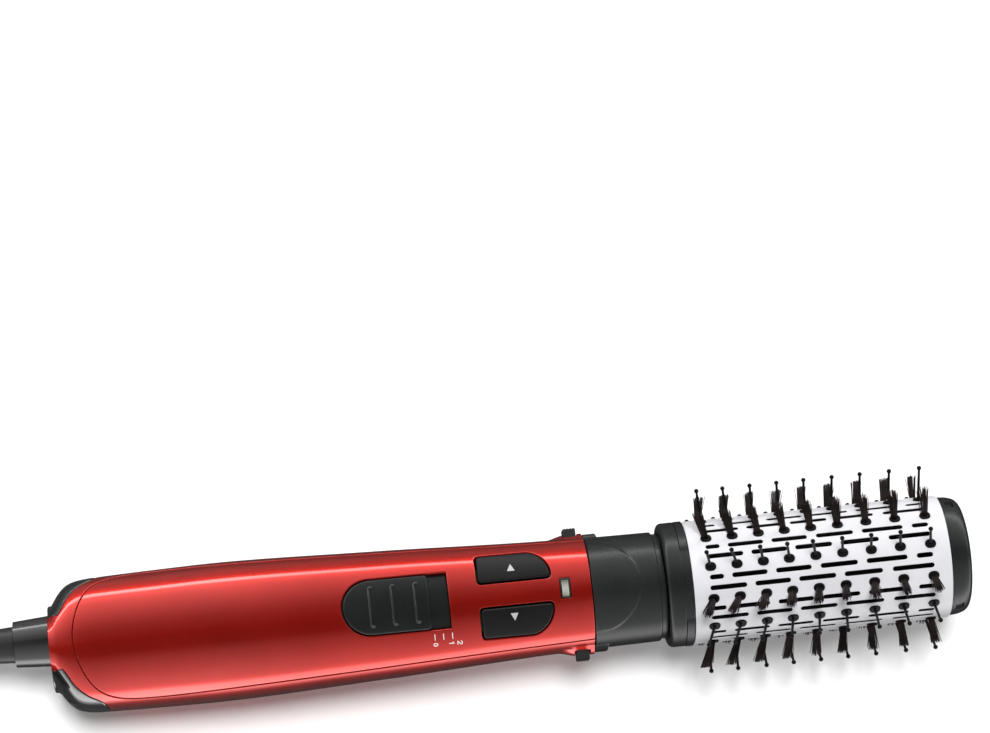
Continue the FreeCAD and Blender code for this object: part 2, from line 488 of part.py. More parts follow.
def stadium(x0, x1, width, r0, r1):
    """Radial slot tool at the top, from radius r0 to r1, with round ends."""
    h = width / 2
    w = [Part.LineSegment(V(x0 + h, h, r0), V(x1 - h, h, r0)).toShape(),
         Part.Arc(V(x1 - h, h, r0), V(x1, 0, r0), V(x1 - h, -h, r0)).toShape(),
         Part.LineSegment(V(x1 - h, -h, r0), V(x0 + h, -h, r0)).toShape(),
         Part.Arc(V(x0 + h, -h, r0), V(x0, 0, r0), V(x0 + h, h, r0)).toShape()]
    return Part.Face(Part.Wire(w)).extrude(V(0, 0, r1 - r0))


barrel = tube(BARREL_R, BARREL_RI, BARREL_X0, BARREL_X1)
tools = []
for row in PIN_ROWS + TUFT_ROWS:
    for a, b in SLOTS_A:
        tools.append(about_x(stadium(a, b, SLOT_W, 17.0, 24.0), row + 20.0))
    for a, b in SLOTS_B:
        tools.append(about_x(stadium(a, b, SLOT_W, 17.0, 24.0), row + 10.0))
    for hx in ROW_X:
        tools.append(about_x(stadium(hx - EYE_L / 2 - 0.1, hx + EYE_L / 2 + 0.1, EYE_W + 0.2, 17.0, 24.0), row))
barrel = barrel.cut(tools)
parts["barrel"] = [barrel]

# ---------------------------------------------------------------- pin strips and tufts
strip = box(228.0 - 0.6, 307.6, -2.3, 2.3, 17.2, 19.35)
feet = [stadium(hx - EYE_L / 2, hx + EYE_L / 2, EYE_W, 19.0, 21.95) for hx in ROW_X]
base = fuse([strip] + feet)


def tip_offset(table, row, i, reach):
    """Offset of a tip along the barrel: the row's own set, or the even fan."""
    fan = math.radians(PIN_FAN[0] + (PIN_FAN[1] - PIN_FAN[0]) * i / (len(ROW_X) - 1))
    return table[row][i] if row in table else reach * math.tan(fan)


pins = []
for row in PIN_ROWS:
    for i, hx in enumerate(ROW_X):
        ln = math.radians(PIN_LEAN)
        r0, rt = 21.5, PIN_TIP_R - PIN_BALL_R
        tip = V(hx + tip_offset(PIN_SET, row, i, rt - r0), rt * math.sin(ln), rt * math.cos(ln))
        foot = V(hx, 0, r0)
        d = tip.sub(foot)
        c = Part.makeCone(PIN_SHAFT_R + 0.1, PIN_SHAFT_R, d.Length, foot, d)
        pins.append(about_x(c.fuse(Part.makeSphere(PIN_BALL_R, tip)), row))
# each pin is pressed about half a millimetre into the foot of its strip
parts["pin_strips"] = [about_x(base, row) for row in PIN_ROWS]
parts["ball_pins"] = pins
socket = base
for i, hx in enumerate(ROW_X):
    socket = socket.cut(Part.makeCylinder(0.85, 4.5, V(hx, 0, 18.4), V(0, 0, 1)))
parts["tuft_strips"] = [about_x(socket, row) for row in TUFT_ROWS]
tufts = []
for row in TUFT_ROWS:
    for i, hx in enumerate(ROW_X):
        foot = V(hx, 0, 18.5)
        ln = math.radians(TUFT_LEAN.get(row, 2.5))
        tip = V(hx + tip_offset(TUFT_SET, row, i, TUFT_TIP_R - 21.5), TUFT_TIP_R * math.sin(ln), TUFT_TIP_R * math.cos(ln))
        lower = Part.makeCylinder(0.8, 3.4, foot, V(0, 0, 1))
        d = tip.sub(V(hx, 0, 21.9))
        knot = Part.makeSphere(1.1, V(hx, 0, 21.9))
        tufts.append(about_x(lower.fuse(knot).fuse(Part.makeCone(0.9, 1.7, d.Length, V(hx, 0, 21.9), d)), row))
parts["bristle_tufts"] = tufts

# ---------------------------------------------------------------- end cap
ec = revolve([(308.5, 17.9), (308.5, 19.75), (BARREL_X1 + 0.05, 19.75), (BARREL_X1 + 0.05, CAP_R), (316.6, CAP_R - 0.25), (318.9, CAP_R - 1.0),
              (320.2, CAP_TIP_R + 0.3), (CAP_X1, CAP_TIP_R - 1.2), (CAP_X1, 0.0), (318.5, 0.0), (318.5, 17.9)])
ec = ec.fuse(cyl(5.6, BARREL_X1 + 0.05, 319.0))
ec = ec.cut(cyl(1.7, 310, 325)).cut(cyl(3.3, 318.2, 325))
for k in range(3):
    ec = ec.cut(about_x(box(314.6, 317.4, -1.5, 1.5, CAP_R - 0.9, 30), 52 + 120 * k))
parts["end_cap"] = [max(ec.Solids, key=lambda s: s.Volume)]
sc = cyl(3.0, 318.25, 319.9).fuse(cyl(1.25, 303.0, 318.25))
sc = sc.cut(box(319.2, 321, -2.0, 2.0, -0.35, 0.35)).cut(box(319.2, 321, -0.35, 0.35, -2.0, 2.0))
parts["cap_screw"] = [sc]

# ---------------------------------------------------------------- set the body down
place = FreeCAD.Placement(V(*SHIFT), FreeCAD.Rotation(V(0, 1, 0), -TILT))


def world(shape):
    s = shape.copy()
    s.Placement = place.multiply(s.Placement)
    return s


body_nodes = list(parts)
done = {n: [world(s) for s in parts[n]] for n in body_nodes}
for n in body_nodes:
    bb = Part.makeCompound(done[n]).optimalBoundingBox(False)
    if n in ("main_housing", "pin_strips", "strain_relief", "end_cap", "rear_inlet_cap", "ball_pins"):
        print(n, "x %.2f %.2f y %.2f %.2f z %.2f %.2f" % (bb.XMin, bb.XMax, bb.YMin, bb.YMax, bb.ZMin, bb.ZMax))
allbb = Part.makeCompound([s for n in body_nodes for s in done[n]]).optimalBoundingBox(False)
print("body box", allbb.XMin, allbb.XMax, allbb.YMin, allbb.YMax, allbb.ZMin, allbb.ZMax)

# ---------------------------------------------------------------- power cord, put away as a neat coil
ct, stl = math.cos(math.radians(TILT)), math.sin(math.radians(TILT))
EXIT = V(SHIFT[0] + RELIEF_X0 * ct - SLEEVE_Z * stl, SLEEVE_Y, SHIFT[2] + RELIEF_X0 * stl + SLEEVE_Z * ct)
COIL_C = V(-212.0, -23.2, 0.0)
COIL_RI, COIL_RO, COIL_Z0, COIL_Z1 = 22.0, 46.4, 0.6, 20.3
ROUTE_LEAD = [EXIT, EXIT + V(-14.0 * ct, 0.0, -14.0 * stl), V(-217.0, 2.1, 19.3)]
ROUTE_TAIL = [COIL_C + V(13.3, 40.8, 3.9), COIL_C + V(-3.5, 44.8, 4.6), COIL_C + V(-20.0, 45.9, 6.8)]


def cord_run(name, pts):
    edges, start = [], pts[0]
    length = 0.0
    for i in range(1, len(pts) - 1):
        a, p, b = pts[i - 1], pts[i], pts[i + 1]
        u, w_ = (a - p).normalize(), (b - p).normalize()
        half_turn = (math.pi - u.getAngle(w_)) / 2
        t = 0.45 * min((a - p).Length, (b - p).Length)
        r = t / math.tan(half_turn)
        print(name, "point", i, "turn %.1f radius %.1f" % (math.degrees(2 * half_turn), r))
        pa, pb = p + V(u).multiply(t), p + V(w_).multiply(t)
        bis = (V(u) + V(w_)).normalize()
        mid = p + bis.multiply(r / math.cos(half_turn) - r)
        edges.append(Part.LineSegment(start, pa).toShape())
        edges.append(Part.Arc(pa, mid, pb).toShape())
        start = pb
    edges.append(Part.LineSegment(start, pts[-1]).toShape())
    wire = Part.Wire(edges)
    d0 = (pts[1] - pts[0]).normalize()
    circ = Part.Wire([Part.Circle(pts[0], d0, CORD_D / 2).toShape()])
    solid = wire.makePipeShell([circ], True, True)
    print(name, "length %.1f volume ratio %.4f" % (wire.Length, solid.Volume / (wire.Length * math.pi * CORD_D ** 2 / 4)))
    return solid


ring_c = Part.makeCylinder(COIL_RO, COIL_Z1 - COIL_Z0, V(COIL_C.x, COIL_C.y, COIL_Z0)).cut(
    Part.makeCylinder(COIL_RI, 60, V(COIL_C.x, COIL_C.y, -5)))
tie_a = math.radians(235)
tie = Part.makeBox(COIL_RO - COIL_RI + 1.8, 3.2, COIL_Z1 - COIL_Z0 + 1.1, V(COIL_RI - 0.9, -1.6, COIL_Z0 - 0.55))
tie = tie.cut(Part.makeBox(COIL_RO - COIL_RI + 0.3, 5, COIL_Z1 - COIL_Z0 + 0.1, V(COIL_RI - 0.15, -2.5, COIL_Z0 - 0.05)))
tie = tie.fuse(Part.makeBox(5.0, 3.2, 1.2, V((COIL_RI + COIL_RO) / 2 - 2.5, -1.6, COIL_Z1 + 0.5)))
tie.rotate(V(0, 0, 0), V(0, 0, 1), math.degrees(tie_a))
tie.translate(COIL_C)
plug_o = ROUTE_TAIL[-1]
PLUG_Z = plug_o.z


def plug_x(a, b, h0, w0, h1, w1):
    """Tapered block of the plug along -X from a to b ahead of the cord's end, with cut corners."""
    def w(x, h, wd):
        c = min(h, wd) * 0.32
        q = [(-wd, -h + c), (-wd + c, -h), (wd - c, -h), (wd, -h + c), (wd, h - c), (wd - c, h), (-wd + c, h), (-wd, h - c)]
        p = [V(plug_o.x - x, plug_o.y + yy, PLUG_Z + zz) for yy, zz in q]
        return Part.makePolygon(p + [p[0]])
    return Part.makeLoft([w(a, h0, w0), w(b, h1, w1)], True, True)


relief_p = Part.makeCone(3.9, 5.0, 17.0, plug_o, V(-1, 0, 0))
plug = fuse([relief_p, plug_x(15.0, 24.0, 4.8, 5.6, 6.2, 11.0), plug_x(24.0, 44.5, 6.2, 11.0, 6.5, 11.7), plug_x(44.5, 46.5, 6.5, 11.7, 5.9, 11.0)])
pins_p = []
for sy in (1, -1):
    o = V(plug_o.x - 40.5, plug_o.y + sy * PLUG_PITCH / 2, PLUG_Z)
    plug = plug.cut(Part.makeCylinder(1.6, 10, o, V(-1, 0, 0)))
    pins_p.append(Part.makeCylinder(1.6, 6.0, o, V(-1, 0, 0)).fuse(
        Part.makeCylinder(PLUG_PIN_R, PLUG_PIN_L - 1.0, V(o.x - 6.0, o.y, o.z), V(-1, 0, 0))).fuse(
        Part.makeCone(PLUG_PIN_R, PLUG_PIN_R - 0.7, 1.0, V(o.x - 5.0 - PLUG_PIN_L, o.y, o.z), V(-1, 0, 0))))
done["cord_lead"] = [cord_run("cord_lead", ROUTE_LEAD)]
done["cord_coil"] = [ring_c]
done["cord_tail"] = [cord_run("cord_tail", ROUTE_TAIL)]
done["coil_tie"] = [tie]
done["plug_body"] = [plug]
done["plug_pins"] = pins_p
print("exit", EXIT, "plug end x", plug_o.x - 46.5 - PLUG_PIN_L)

for n, shapes in done.items():
    for s in shapes:
        if not s.isValid() or len(s.Solids) != 1:
            print("CHECK", n, s.isValid(), len(s.Solids))
    out = shapes[0] if len(shapes) == 1 else Part.makeCompound(shapes)
    out.exportStep(os.path.join("parts", n + ".step"))
print(len(done), "nodes")
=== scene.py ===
import json
import math
import random

import bpy
import numpy as np
from mathutils import Matrix, Vector
from mathutils.geometry import delaunay_2d_cdt

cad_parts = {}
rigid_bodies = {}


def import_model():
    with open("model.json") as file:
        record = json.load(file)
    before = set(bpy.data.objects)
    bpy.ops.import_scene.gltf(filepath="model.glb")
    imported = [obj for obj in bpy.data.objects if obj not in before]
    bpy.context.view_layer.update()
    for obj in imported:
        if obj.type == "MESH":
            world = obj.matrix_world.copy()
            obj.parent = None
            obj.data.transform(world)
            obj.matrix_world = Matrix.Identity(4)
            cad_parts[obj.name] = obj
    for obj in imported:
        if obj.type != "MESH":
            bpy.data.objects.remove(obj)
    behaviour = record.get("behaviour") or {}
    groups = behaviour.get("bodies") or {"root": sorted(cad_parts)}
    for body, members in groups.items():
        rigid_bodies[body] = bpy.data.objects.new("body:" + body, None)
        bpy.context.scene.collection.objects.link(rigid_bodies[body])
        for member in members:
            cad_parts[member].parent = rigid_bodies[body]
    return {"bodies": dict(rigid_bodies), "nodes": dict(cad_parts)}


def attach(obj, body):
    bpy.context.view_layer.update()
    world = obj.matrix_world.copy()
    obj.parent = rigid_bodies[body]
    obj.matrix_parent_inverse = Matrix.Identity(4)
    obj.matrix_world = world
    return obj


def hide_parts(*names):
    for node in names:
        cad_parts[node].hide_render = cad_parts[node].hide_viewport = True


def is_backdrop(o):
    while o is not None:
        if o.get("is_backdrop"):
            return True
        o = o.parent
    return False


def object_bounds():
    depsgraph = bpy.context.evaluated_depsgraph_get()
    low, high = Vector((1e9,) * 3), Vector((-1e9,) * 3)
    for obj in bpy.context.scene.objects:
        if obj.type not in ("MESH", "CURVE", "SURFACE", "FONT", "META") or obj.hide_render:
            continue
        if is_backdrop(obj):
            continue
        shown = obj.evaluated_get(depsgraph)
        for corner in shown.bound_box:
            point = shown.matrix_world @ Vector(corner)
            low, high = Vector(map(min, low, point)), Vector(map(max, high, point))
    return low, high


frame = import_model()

NODES, BODIES = frame["nodes"], frame["bodies"]
for o in list(bpy.data.objects):
    if o.name not in NODES and o not in BODIES.values():
        bpy.data.objects.remove(o)
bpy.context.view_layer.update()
scene = bpy.context.scene

# ------------------------------------------------------------------ the body's own frame, in millimetres
TILT = math.radians(2.44)
CT, SN = math.cos(TILT), math.sin(TILT)
SHIFT = (-136.87, 0.0, 22.95)


def to_world(p):
    """Points of the body's own frame, in mm, as points of the row frame, in metres."""
    p = np.asarray(p, float)
    x = p[..., 0] * CT - p[..., 2] * SN + SHIFT[0]
    z = p[..., 0] * SN + p[..., 2] * CT + SHIFT[2]
    return np.stack([x, p[..., 1] + SHIFT[1], z], -1) / 1000.0


def dir_world(p):
    p = np.asarray(p, float)
    return np.stack([p[..., 0] * CT - p[..., 2] * SN, p[..., 1], p[..., 0] * SN + p[..., 2] * CT], -1)


# ------------------------------------------------------------------ camera
cam_data = bpy.data.cameras.new("camera")
cam_data.lens, cam_data.sensor_width = 130.909, 36.0
cam_data.clip_start, cam_data.clip_end = 0.05, 20.0
cam = bpy.data.objects.new("camera", cam_data)
scene.collection.objects.link(cam)
R = ((0.99008389, 0.09105527, -0.1069712), (-0.11141964, 0.972773, -0.20321995), (0.08555445, 0.21312349, 0.97327222))
C = (-0.10897321, -0.17505541, 1.27085303)
cam.matrix_world = Matrix([list(R[i]) + [C[i]] for i in range(3)] + [[0, 0, 0, 1]])
scene.camera = cam


# ------------------------------------------------------------------ small helpers
def link(obj):
    scene.collection.objects.link(obj)
    return obj


def node_mat(name):
    m = bpy.data.materials.new(name)
    m.use_nodes = True
    nt = m.node_tree
    return m, nt, nt.nodes["Principled BSDF"]


# ------------------------------------------------------------------ materials
def plastic(name, dark, light, rough, scale, bump, metallic=0.0, coat=0.0, coat_rough=0.05, spec=0.5, sub=None, fine=None,
            rough_spread=0.06, aniso_x=1.0):
    """Moulded or painted surface: two tones in a soft drift, a fine grain in the bump and an uneven gloss."""
    m, nt, b = node_mat(name)
    n, l = nt.nodes, nt.links
    tc = n.new("ShaderNodeTexCoord")
    mp = n.new("ShaderNodeMapping")
    mp.inputs["Scale"].default_value = (aniso_x, 1.0, 1.0)
    l.new(tc.outputs["Object"], mp.inputs["Vector"])
    drift = n.new("ShaderNodeTexNoise")
    drift.inputs["Scale"].default_value = 55.0
    drift.inputs["Detail"].default_value = 4.0
    l.new(mp.outputs["Vector"], drift.inputs["Vector"])
    ramp = n.new("ShaderNodeValToRGB")
    ramp.color_ramp.elements[0].position, ramp.color_ramp.elements[1].position = 0.3, 0.7
    ramp.color_ramp.elements[0].color = (*dark, 1)
    ramp.color_ramp.elements[1].color = (*light, 1)
    l.new(drift.outputs["Fac"], ramp.inputs["Fac"])
    l.new(ramp.outputs["Color"], b.inputs["Base Color"])
    grain = n.new("ShaderNodeTexNoise")
    grain.inputs["Scale"].default_value = scale
    grain.inputs["Detail"].default_value = 3.0
    l.new(mp.outputs["Vector"], grain.inputs["Vector"])
    mr = n.new("ShaderNodeMapRange")
    mr.inputs["From Min"].default_value, mr.inputs["From Max"].default_value = 0.3, 0.7
    mr.inputs["To Min"].default_value, mr.inputs["To Max"].default_value = max(0.02, rough - rough_spread), rough + rough_spread
    l.new(grain.outputs["Fac"], mr.inputs["Value"])
    l.new(mr.outputs["Result"], b.inputs["Roughness"])
    if bump:
        bp = n.new("ShaderNodeBump")
        bp.inputs["Strength"].default_value = bump
        bp.inputs["Distance"].default_value = 0.0001
        l.new(grain.outputs["Fac"], bp.inputs["Height"])
        l.new(bp.outputs["Normal"], b.inputs["Normal"])
    b.inputs["Metallic"].default_value = metallic
    b.inputs["Coat Weight"].default_value = coat
    b.inputs["Coat Roughness"].default_value = coat_rough
    b.inputs["Specular IOR Level"].default_value = spec
    return m


def metal(name, tone, rough):
    return plastic(name, tuple(0.85 * c for c in tone), tone, rough, 2600.0, 0.12, metallic=1.0, rough_spread=0.08)


MAT = {}
MAT["red_paint"] = plastic("red_lacquer", (0.64, 0.016, 0.008), (0.72, 0.020, 0.010), 0.31, 9000.0, 0.05,
                           metallic=0.86, coat=1.0, coat_rough=0.025, rough_spread=0.05)
MAT["red_paint"].node_tree.nodes["Principled BSDF"].inputs["Coat IOR"].default_value = 1.66
# painted shade: the walls of the seams and holes in the painted shells get a much darker red, so the gaps read as
# shaded
MAT["red_seam_shade"] = plastic("red_lacquer_seam_shade", (0.12, 0.005, 0.003), (0.16, 0.007, 0.004), 0.35, 9000.0, 0.05, metallic=0.5, rough_spread=0.05)
MAT["switch_black"] = plastic("switch_satin", (0.005, 0.006, 0.006), (0.009, 0.010, 0.010), 0.34, 6000.0, 0.14)
MAT["button_black"] = plastic("button_satin", (0.004, 0.004, 0.004), (0.007, 0.007, 0.007), 0.42, 6000.0, 0.16, spec=0.32)
MAT["collar_grey"] = plastic("collar_satin", (0.009, 0.010, 0.010), (0.014, 0.015, 0.015), 0.30, 5200.0, 0.10)
# painted highlight: the knob's ribs get a lighter, glossier copy of the knob's black so they read as lit
MAT["rib_black"] = plastic("rib_satin_highlight", (0.018, 0.019, 0.019), (0.030, 0.031, 0.031), 0.20, 6000.0, 0.05, coat=0.6, coat_rough=0.12)
# painted shade: the walls of the barrel's slots and tuft holes are near-black, standing in for the shade inside the
# holes
MAT["slot_wall_shade"] = plastic("slot_wall_shade", (0.004, 0.004, 0.004), (0.012, 0.012, 0.012), 0.6, 5000.0, 0.1, spec=0.2)
MAT["black_gloss"] = plastic("gloss_black_abs", (0.006, 0.007, 0.007), (0.010, 0.011, 0.011), 0.20, 3500.0, 0.03, coat=1.0, coat_rough=0.04, rough_spread=0.04)
MAT["black_gloss"].node_tree.nodes["Principled BSDF"].inputs["Coat IOR"].default_value = 1.9
MAT["black_matte"] = plastic("satin_black_abs", (0.017, 0.018, 0.019), (0.024, 0.025, 0.026), 0.42, 6000.0, 0.16)
MAT["dark_grey"] = plastic("dark_grey_nylon", (0.012, 0.012, 0.012), (0.018, 0.018, 0.018), 0.26, 5200.0, 0.08, coat=0.7, coat_rough=0.14)
MAT["dark_grey"].node_tree.nodes["Principled BSDF"].inputs["Coat IOR"].default_value = 1.7
MAT["cord_pvc"] = plastic("cord_pvc", (0.014, 0.014, 0.014), (0.022, 0.022, 0.023), 0.38, 2600.0, 0.18)
MAT["barrel_white"] = plastic("white_ceramic_coat", (0.575, 0.57, 0.595), (0.635, 0.63, 0.655), 0.34, 5200.0, 0.10, rough_spread=0.07)
MAT["pin_nylon"] = plastic("pin_nylon", (0.003, 0.003, 0.003), (0.006, 0.006, 0.006), 0.46, 5200.0, 0.08, spec=0.15)
MAT["bristle"] = plastic("boar_and_nylon_bristle", (0.004, 0.003, 0.003), (0.022, 0.014, 0.013), 0.48, 3800.0, 0.0, aniso_x=1.0, spec=0.3)
# painted shade: the insides of the shells, the barrel's inner surface and the spindle are near-black, standing in for
# the shade they lie in
MAT["inside_shade_black"] = plastic("inside_shade_black", (0.004, 0.004, 0.004), (0.008, 0.008, 0.008), 0.6, 3000.0, 0.05, spec=0.2)
MAT["mark_white"] = plastic("printed_marks", (0.72, 0.70, 0.68), (0.82, 0.80, 0.78), 0.5, 5000.0, 0.1)
MAT["mark_grey"] = plastic("printed_arrows", (0.36, 0.36, 0.36), (0.46, 0.46, 0.46), 0.45, 5000.0, 0.1)
MAT["lens"] = plastic("indicator_lens", (0.05, 0.055, 0.035), (0.17, 0.18, 0.12), 0.18, 2600.0, 0.2, coat=1.0, coat_rough=0.05)
MAT["lens"].node_tree.nodes["Principled BSDF"].inputs["Transmission Weight"].default_value = 0.35
MAT["led"] = plastic("led_epoxy", (0.60, 0.62, 0.45), (0.75, 0.76, 0.58), 0.2, 2600.0, 0.1)
MAT["steel"] = metal("steel", (0.60, 0.60, 0.61), 0.30)
MAT["nickel"] = metal("nickel_plate", (0.72, 0.71, 0.69), 0.22)
MAT["copper_wire"] = metal("resistance_wire", (0.62, 0.52, 0.44), 0.35)
MAT["mica"] = plastic("mica_board", (0.55, 0.50, 0.40), (0.68, 0.63, 0.52), 0.5, 900.0, 0.3)
MAT["board_green"] = plastic("circuit_board", (0.012, 0.07, 0.03), (0.02, 0.10, 0.045), 0.35, 1800.0, 0.1)
MAT["foam"] = plastic("filter_foam", (0.05, 0.05, 0.05), (0.09, 0.09, 0.09), 0.9, 1500.0, 1.0)
MAT["natural_nylon"] = plastic("natural_nylon", (0.55, 0.53, 0.47), (0.66, 0.64, 0.58), 0.45, 2600.0, 0.1)

NODE_MAT = {
    "main_housing": "red_paint", "front_cover": "red_paint", "rear_inlet_cap": "black_gloss", "inlet_filter": "foam",
    "cord_sleeve": "dark_grey", "strain_relief": "cord_pvc", "switch_plate": "black_matte", "switch_knob": "black_matte",
    "slide_switch_body": "black_matte", "rotate_button_up": "black_matte", "rotate_button_down": "black_matte",
    "button_switches": "black_matte", "indicator_lens": "lens", "indicator_frame": "black_gloss", "indicator_led": "led",
    "release_button_upper": "black_matte", "release_button_lower": "black_matte", "circuit_board": "board_green",
    "ion_generator": "black_matte", "fan_duct": "dark_grey", "fan_motor": "steel", "fan_shaft": "steel",
    "fan_impeller": "natural_nylon", "drive_motor": "steel", "gearhead": "steel", "motor_pinion": "natural_nylon",
    "drive_gear": "natural_nylon", "drive_shaft": "steel", "bearing_plate": "dark_grey", "motor_cradle": "dark_grey",
    "housing_screws": "steel", "heater_frame": "mica", "heater_coil": "copper_wire", "heater_tube": "mica",
    "thermostat": "nickel", "outlet_grille": "black_matte", "head_collar": "dark_grey", "spindle_bush": "natural_nylon",
    "brush_ring": "dark_grey", "spindle": "inside_shade_black", "retaining_clip": "steel", "barrel": "barrel_white",
    "pin_strips": "pin_nylon", "ball_pins": "pin_nylon", "tuft_strips": "pin_nylon", "bristle_tufts": "bristle", "end_cap": "dark_grey",
    "cap_screw": "steel", "cord_lead": "cord_pvc", "cord_coil": "cord_pvc", "cord_tail": "cord_pvc",
    "coil_tie": "black_matte", "plug_body": "cord_pvc", "plug_pins": "nickel"}


def set_mat(obj, *names):
    obj.data.materials.clear()
    for nm in names:
        obj.data.materials.append(MAT[nm])


for nm, obj in NODES.items():
    set_mat(obj, NODE_MAT[nm])

# ------------------------------------------------------------------ the cord: one smooth curve from the relief to the plug
EXIT = (-184.06154, 2.3, 26.44407)
LEAD = [EXIT, (EXIT[0] - 14.0 * CT, 2.3, EXIT[2] - 14.0 * SN), (-217.0, 2.1, 19.3)]
CC = (-212.0, -23.2)
TAIL = [(CC[0] + 13.3, CC[1] + 40.8, 3.9), (CC[0] - 3.5, CC[1] + 44.8, 4.6), (CC[0] - 20.0, CC[1] + 45.9, 6.8)]
TURN_STEP = 24.0
coil = []
TH0, TH1 = 101.0, 101.0 + 2851.0
R_IN, R_OUT = 25.5, 42.9
span = (TH1 - TH0) / 3
th = TH0 + TURN_STEP
while th < TH1 - 12:
    q = (th - TH0) / span
    lay = int(q)
    f = q - lay
    r = R_IN + (R_OUT - R_IN) * (f if lay % 2 == 0 else 1 - f)
    zs = (16.85, 10.35, 3.85, 3.85)
    z = zs[lay]
    # a layer change is a slope over about fifty degrees
    w = 25.0 / span
    if lay < 2 and f > 1 - w:
        t = (f - (1 - w)) / (2 * w)
        z = zs[lay] + (zs[lay + 1] - zs[lay]) * t * t * (3 - 2 * t)
    if lay > 0 and f < w:
        t = 0.5 + f / (2 * w)
        z = zs[lay - 1] + (zs[lay] - zs[lay - 1]) * t * t * (3 - 2 * t)
    if th < TH0 + 50:
        t = (th - TH0) / 50.0
        z = 19.3 + (16.85 - 19.3) * t * t * (3 - 2 * t)
    a = math.radians(th)
    grow = 1.012
    coil.append((CC[0] + grow * r * math.cos(a), CC[1] + grow * r * math.sin(a), z))
    th += TURN_STEP
route = LEAD + coil + TAIL
cu = bpy.data.curves.new("power_cord", "CURVE")
cu.dimensions = "3D"
sp = cu.splines.new("NURBS")
sp.points.add(len(route) - 1)
for i, p in enumerate(route):
    sp.points[i].co = (p[0] / 1000, p[1] / 1000, p[2] / 1000, 1.0)
sp.order_u = 3
sp.use_endpoint_u = True
sp.resolution_u = 6
cu.bevel_depth = 0.00325
cu.bevel_resolution = 6
cu.use_fill_caps = True
cord = link(bpy.data.objects.new("power_cord", cu))
cord.data.materials.append(MAT["cord_pvc"])
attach(cord, "handle")
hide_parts("cord_lead", "cord_coil", "cord_tail")

# ------------------------------------------------------------------ the body's surface
ST = np.array([
    (-2, 10.5, 15.6, 12.5, 2.30), (0.4, 12.8, 16.8, 14.6, 2.30), (2.2, 15.4, 17.9, 16.9, 2.32), (4.6, 18.9, 19.1, 19.4, 2.34),
    (7.6, 21.5, 20.4, 21.4, 2.36), (11.5, 22.7, 21.6, 22.7, 2.38), (18.0, 23.15, 22.6, 23.5, 2.40), (28.0, 23.4, 23.3, 24.1, 2.40),
    (41.0, 23.65, 23.8, 24.6, 2.40), (56.0, 23.85, 24.0, 24.8, 2.40), (72.0, 23.65, 23.75, 24.6, 2.40), (89.0, 23.1, 23.15, 24.1, 2.40),
    (106.0, 22.45, 22.35, 23.3, 2.38), (123.0, 21.85, 21.6, 22.5, 2.36), (140.0, 21.1, 20.8, 21.6, 2.32), (156.0, 20.4, 20.3, 20.8, 2.25),
    (172.0, 19.85, 19.9, 20.1, 2.15), (187.65, 19.6, 19.6, 19.6, 2.04), (192.0, 19.55, 19.55, 19.55, 2.0)])


def spline_table(knots, values, fine):
    """Natural cubic spline through the values at the knots, at the fine positions."""
    t, y = np.asarray(knots, float), np.asarray(values, float)
    n = len(t)
    h = np.diff(t)
    a = np.zeros((n, n))
    rhs = np.zeros((n,) + y.shape[1:])
    a[0, 0] = a[-1, -1] = 1
    for i in range(1, n - 1):
        a[i, i - 1], a[i, i], a[i, i + 1] = h[i - 1], 2 * (h[i - 1] + h[i]), h[i]
        rhs[i] = 6 * ((y[i + 1] - y[i]) / h[i] - (y[i] - y[i - 1]) / h[i - 1])
    m = np.linalg.solve(a, rhs)
    k = np.clip(np.searchsorted(t, fine, side="right") - 1, 0, n - 2)
    d0, d1 = (t[k + 1] - fine), (fine - t[k])
    hk = h[k]
    if y.ndim > 1:
        d0, d1, hk = d0[:, None], d1[:, None], hk[:, None]
    return (m[k] * d0 ** 3 + m[k + 1] * d1 ** 3) / (6 * hk) + (y[k] / hk - m[k] * hk / 6) * d0 + (y[k + 1] / hk - m[k + 1] * hk / 6) * d1


KN = np.concatenate([[0], np.cumsum(np.hypot(np.diff(ST[:, 0]), np.diff(ST[:, 1])))])
FINE = np.linspace(0, KN[-1], 6000)
TAB = spline_table(KN, ST, FINE)
U_OF_X = lambda x: np.interp(x, TAB[:, 0], FINE)
RV = 21.0                     # the angle round the body is counted in millimetres at this radius
U_END = float(U_OF_X(187.65))


def stations(u):
    u = np.clip(u, 0, FINE[-1])
    return [np.interp(u, FINE, TAB[:, k]) for k in range(5)]


def smax(a, b, k):
    h = np.clip(0.5 + 0.5 * (a - b) / k, 0, 1)
    return b + (a - b) * h + k * h * (1 - h)


def body_r(u, phi):
    x, w, zt, zb, n = stations(u)
    sn, cs = np.abs(np.sin(phi)), np.cos(phi)
    z = np.where(cs > 0, zt, zb)
    r = ((sn / w) ** n + (np.abs(cs) / z) ** n) ** (-1.0 / n)
    # the two swellings round the release buttons
    rho2 = np.where(x > 181.0, 6.4 ** 2, np.clip(6.4 ** 2 - (181.0 - x) ** 2, 0, None))
    q = rho2 - (14.9 * cs) ** 2
    bulge = np.where((q > 0) & (rho2 > 0), 14.9 * sn + np.sqrt(np.clip(q, 1e-9, None)), 0.0)
    return x, smax(r, np.where(bulge > 15, bulge, 15.0), 0.9)


class Body:
    """The handle's skin: u runs along it and v round it from the front's middle, both in mm."""
    off = 0.0

    def __init__(self, off=0.0):
        self.off = off

    def base(self, uv):
        phi = uv[:, 1] / RV
        x, r = body_r(uv[:, 0], phi)
        return np.stack([x, r * np.sin(phi), r * np.cos(phi)], 1)

    def normal(self, uv):
        e = 0.02
        du = self.base(uv + (e, 0)) - self.base(uv - (e, 0))
        dv = self.base(uv + (0, e)) - self.base(uv - (0, e))
        n = np.cross(du, dv)
        return n / np.linalg.norm(n, axis=1)[:, None]

    def at(self, uv, depth):
        n = self.normal(uv)
        return self.base(uv) + n * (self.off - np.asarray(depth))[:, None], n


